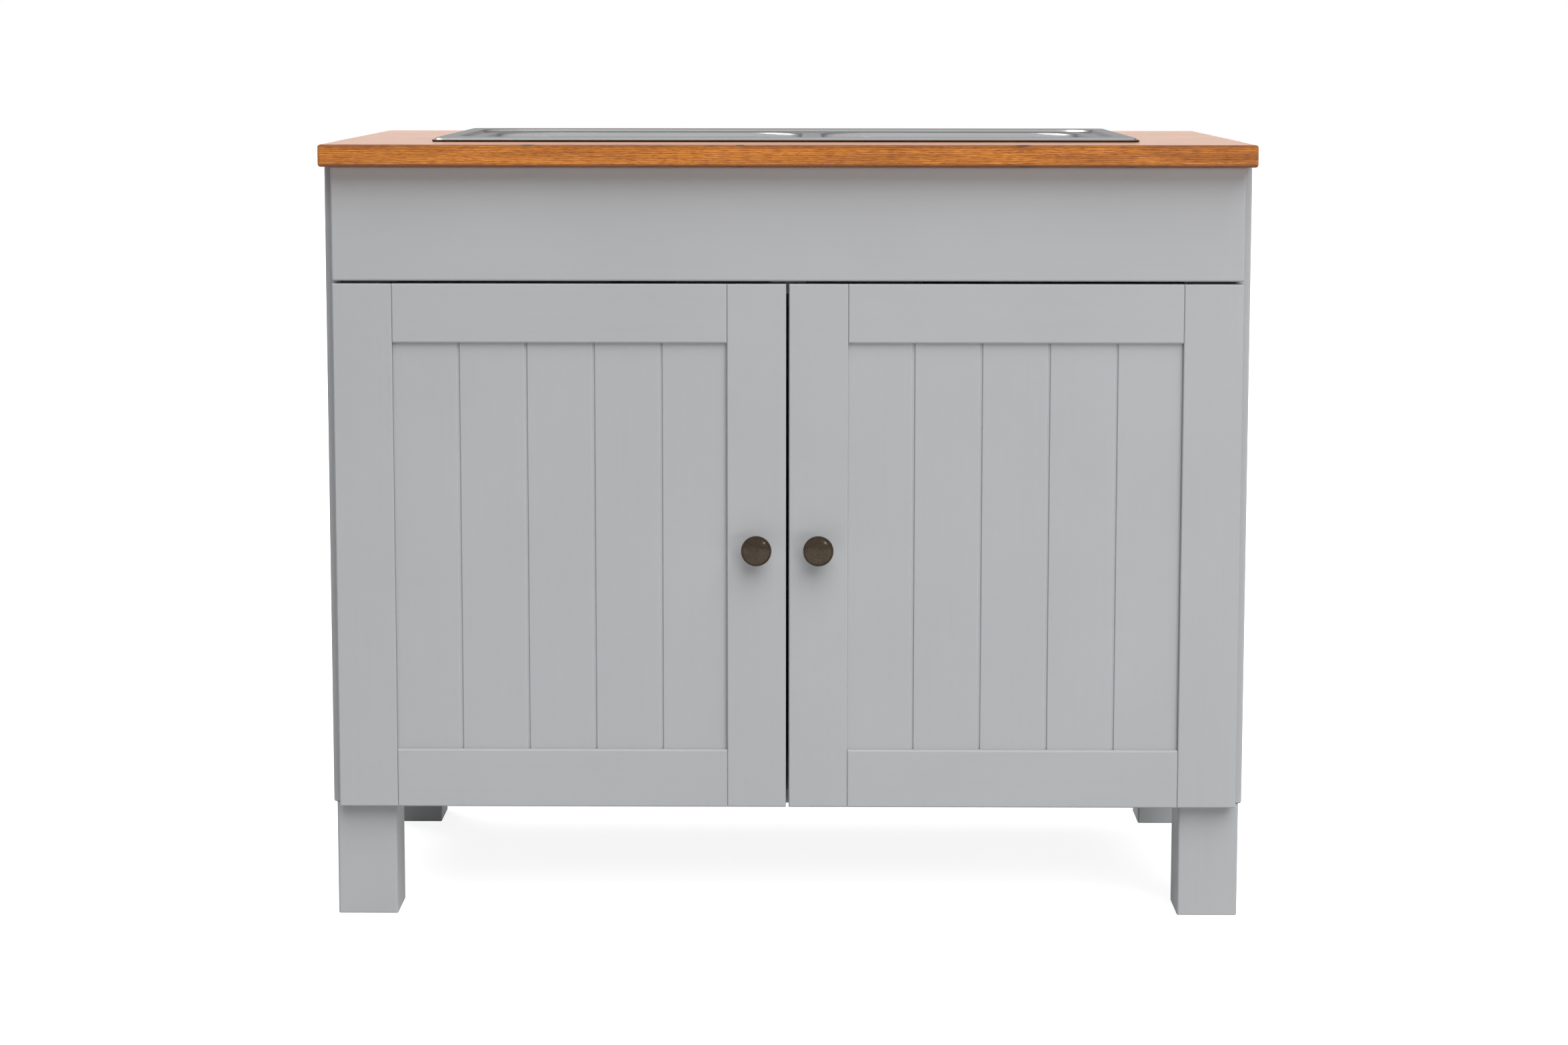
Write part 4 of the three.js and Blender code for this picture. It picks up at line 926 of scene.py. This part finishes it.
def build_bowl(skin, side, field):
    """A bowl's walls and floor, hung from the deck's field. Returns the loop that joins them."""
    x0, y0, x1, y1 = footprint(side + "_bowl")
    wall = 1 * MM
    box = (x0 + wall, y0 + wall, x1 - wall, y1 - wall)
    roll, fillet = 6 * MM, 18 * MM  # the radii at the top and at the bottom of the walls
    floor = field - BOWL_DEPTH
    rows = []

    def row(outset, z):
        rows.append(skin.loop(rounded_loop(box, outset, BOWL_CORNER), z))

    row(roll + 0.8 * MM, field)
    for i in range(7):
        angle = i * QUARTER / 6
        row(roll * (1 - math.sin(angle)), field - roll * (1 - math.cos(angle)))
    row(-0.8 * MM, field - 40 * MM)  # the walls lean in a little
    row(-1.9 * MM, field - 90 * MM)
    for i in range(8):
        angle = i * QUARTER / 7
        row(-3 * MM - fillet * (1 - math.cos(angle)), floor + fillet * (1 - math.sin(angle)))
    # The floor falls a little to the dished seat of the strainer.
    cx, cy = (box[0] + box[2]) / 2, (box[1] + box[3]) / 2
    last = [skin.points[i][:2] for i in rows[-1]]
    angles = [math.atan2(y - cy, x - cx) for x, y in last]

    def ring(radius, depth, share=1):
        """A loop this share of the way from the walls to a circle, with its sizes in mm."""
        flat = []
        for (x, y), a in zip(last, angles):
            to_x, to_y = cx + radius * MM * math.cos(a), cy + radius * MM * math.sin(a)
            flat.append((x + (to_x - x) * share, y + (to_y - y) * share))
        rows.append(skin.loop(flat, floor - depth * MM))

    ring(61, 0.1, 0.35)
    ring(61, 0.2, 0.7)
    for radius, depth in ((60.6, 0.3), (59.2, 0.7), (56.8, 2.6), (55.4, 3), (43, 3)):
        ring(radius, depth)
    skin.chain(rows)
    return rows[0]


def build_strainer(side):
    low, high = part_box(side + "_strainer_body")
    cx, cy = (low.x + high.x) / 2, (low.y + high.y) / 2
    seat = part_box(side + "_bowl")[0].z + 1.0 * MM  # the dished floor
    centre = (cx, cy, seat)
    inner, wall = 40.5, 2  # the cup's radius and its wall, in mm
    profile = curve_points(
        (inner, 1.1), (inner, -36), ((inner, -42.8), (inner - 7, -43.3)),  # the cup
        (18, -44.1), (18, -75), (20, -75), (20, -46),  # the outlet
        (inner - 5, -45.2), ((inner + wall, -44.8), (inner + wall, -37)),
        (inner + wall, 0.2), (54, 0.2), ((54, 1.3), (52, 1.55)), (44, 1.7),  # the flange
        ((41.6, 1.8), (inner, 1.1)),
    )
    mesh = lathe(side + "_drain_cup", profile, centre, "Z", 72)
    finish_object(side + "_drain_cup", mesh, STEEL_TURNED, "carcass",
                  [side + "_strainer_body"], sharp=50)
    profile = curve_points(
        (0, -42.6), (20.5, -42.6), ((21.5, -42.4), (21.5, -40.5)), (15.5, -38),  # the plug
        (29, -38), ((33, -38), (33.2, -33)), (35, -2.4),  # the outside
        (37.5, -2.2), ((37.9, -1.4), (37.2, -1)), ((34.4, -1), (34.2, -2)),  # the rim
        (32.3, -33), ((32, -37.1), (29, -37.1)), (5, -37.1),  # the inside
        ((3, -37), (3, -34)), (3, -8),  # the post and its button
        ((4, -5.4), (8, -4.6)), ((9, -3.4), (7.4, -2.2)), ((4, -1.3), (0, -1.3)),
    )
    mesh = lathe(side + "_basket_turned", profile, centre, "Z", 72)
    holes = []
    for count, ring, radius in ((12, 24, 2.1), (8, 17.6, 1.6)):  # in the basket's floor
        for x, y in arc(cx, cy, ring * MM, 0, 2 * math.pi, count)[:-1]:
            holes.append(rod(radius, -39.5, -35.5, (x, y, seat), "Z", 16))
    slots, wall, height, stretch = 20, 33.6, -17, 5  # in its wall
    for i in range(slots):
        slot = rod(1.7, -8, 8, (0, 0, 0), "X", 14)
        slot.transform(Matrix.Diagonal((1, 1, stretch, 1)))
        slot.transform(Matrix.Translation((cx, cy, seat + height * MM))
                       @ Matrix.Rotation(2 * math.pi * i / slots, 4, "Z")
                       @ Matrix.Translation((wall * MM, 0, 0)))
        holes.append(slot)
    finish_object(side + "_basket", pierced(mesh, holes), STEEL_TURNED,
                  side + "_basket", [side + "_strainer_basket"], sharp=40)
    dress(side + "_strainer_nut", NUT_PLASTIC)


# ---------------------------------------------------------------- studio

FLOOR_HALF = 30  # half the floor's side, in metres
GLOW = 0.85  # how bright the floor is where it's seen
SEEN_LIGHT, FILL_LIGHT = 1.0, 0.08  # the world where it's seen, and where it lights the object


def build_studio():
    """A white floor that keeps the object's shadow, a white world and soft lamps."""
    h = FLOOR_HALF
    mesh = mesh_from("floor", [(-h, -h, 0), (h, -h, 0), (h, h, 0), (-h, h, 0)], [[0, 1, 2, 3]])
    floor = bpy.data.objects.new("floor", mesh)
    bpy.context.scene.collection.objects.link(floor)
    s = Shader(bpy.data.materials.new("studio_floor"))
    wear = s.noise(s.place, scale=3, detail=2)
    matt = s.node("BsdfDiffuse", Color=s.ramp(wear, (0.3, 0.55), (0.7, 0.57)))
    glow = s.node("Emission", Color=(1, 1, 1), Strength=s.math("MULTIPLY", s.seen(), GLOW))
    both = s.node("AddShader")
    s.put(both.inputs[0], matt.outputs[0])
    s.put(both.inputs[1], glow.outputs[0])
    mesh.materials.append(s.end(both))

    s = Shader(bpy.data.worlds.new("studio"), "OutputWorld")
    strength = s.node("MapRange", Value=s.seen(), To_Min=FILL_LIGHT, To_Max=SEEN_LIGHT)
    background = s.node("Background", Color=(1, 1, 1), Strength=strength.outputs["Result"])
    bpy.context.scene.world = s.end(background)

    # The suns: the way to each, its strength, and its width in degrees.
    key = sun("key", (0.22, -0.605, 0.765), 2.76, 56)
    sun("rear", (-0.40, 0.50, 0.77), 1.1, 30)
    # The softboxes: place, what each is aimed at, side in metres and power in watts.
    side = softbox("side", (1.2, -2.1, 0.2), (0.1, -0.3, 0.3), 0.9, 9.2)
    for lamp in (key, side):  # the metal's reflections already show the white studio
        lamp.visible_glossy = False
    softbox("glint", (0.92, -2.17, 1.16), (0, -0.3, 0.41), 0.2, 1.8)  # a highlight on the knobs


def aimed(light, place, towards):
    """A lamp at a place, shining in the direction towards."""
    made = bpy.data.objects.new(light.name, light)
    made.location = place
    made.rotation_mode = "QUATERNION"
    made.rotation_quaternion = towards.to_track_quat("-Z", "Y")
    bpy.context.scene.collection.objects.link(made)
    return made


def sun(name, source, strength, spread):
    """An even light from far away in the direction of source, as soft as spread degrees."""
    light = bpy.data.lights.new(name, "SUN")
    light.energy = strength
    light.angle = math.radians(spread)
    return aimed(light, (0, 0, 4), -Vector(source))


def softbox(name, place, target, size, power):
    """A square lamp that points from its place at its target."""
    light = bpy.data.lights.new(name, "AREA")
    light.shape = "SQUARE"
    light.size = size
    light.energy = power
    return aimed(light, place, Vector(target) - Vector(place))


def build_camera():
    """The photograph's viewpoint: 3.5 m in front of the worktop and 0.1 m above it."""
    data = bpy.data.cameras.new("camera")
    data.sensor_width = 36
    data.lens = 75.372
    data.shift_y = -0.05
    data.clip_end = 200
    place = Vector((23.4 * MM, FRONT - 3.4943, 0.95222))
    yaw, pitch, roll = 0.0077, -0.1202, 0.00066
    ahead = Vector((-math.sin(yaw), math.cos(yaw), 0))
    right = Vector((math.cos(yaw), math.sin(yaw), 0))
    up = Vector((0, 0, 1))
    view = ahead * math.cos(pitch) + up * math.sin(pitch)
    head = up * math.cos(pitch) - ahead * math.sin(pitch)
    across = right * math.cos(roll) + head * math.sin(roll)
    head = head * math.cos(roll) - right * math.sin(roll)
    camera = bpy.data.objects.new("camera", data)
    axes = Matrix((across, head, -view)).transposed().to_4x4()
    camera.matrix_world = Matrix.Translation(place) @ axes
    bpy.context.scene.collection.objects.link(camera)
    bpy.context.scene.camera = camera


build_camera()
build_studio()
bpy.context.scene.view_settings.view_transform = "Standard"
build_worktop()
build_carcass()
for side, s in SIDES:
    build_door(side, s)
    build_knob(side)
    build_fittings(side, s)
    build_strainer(side)
build_sink()
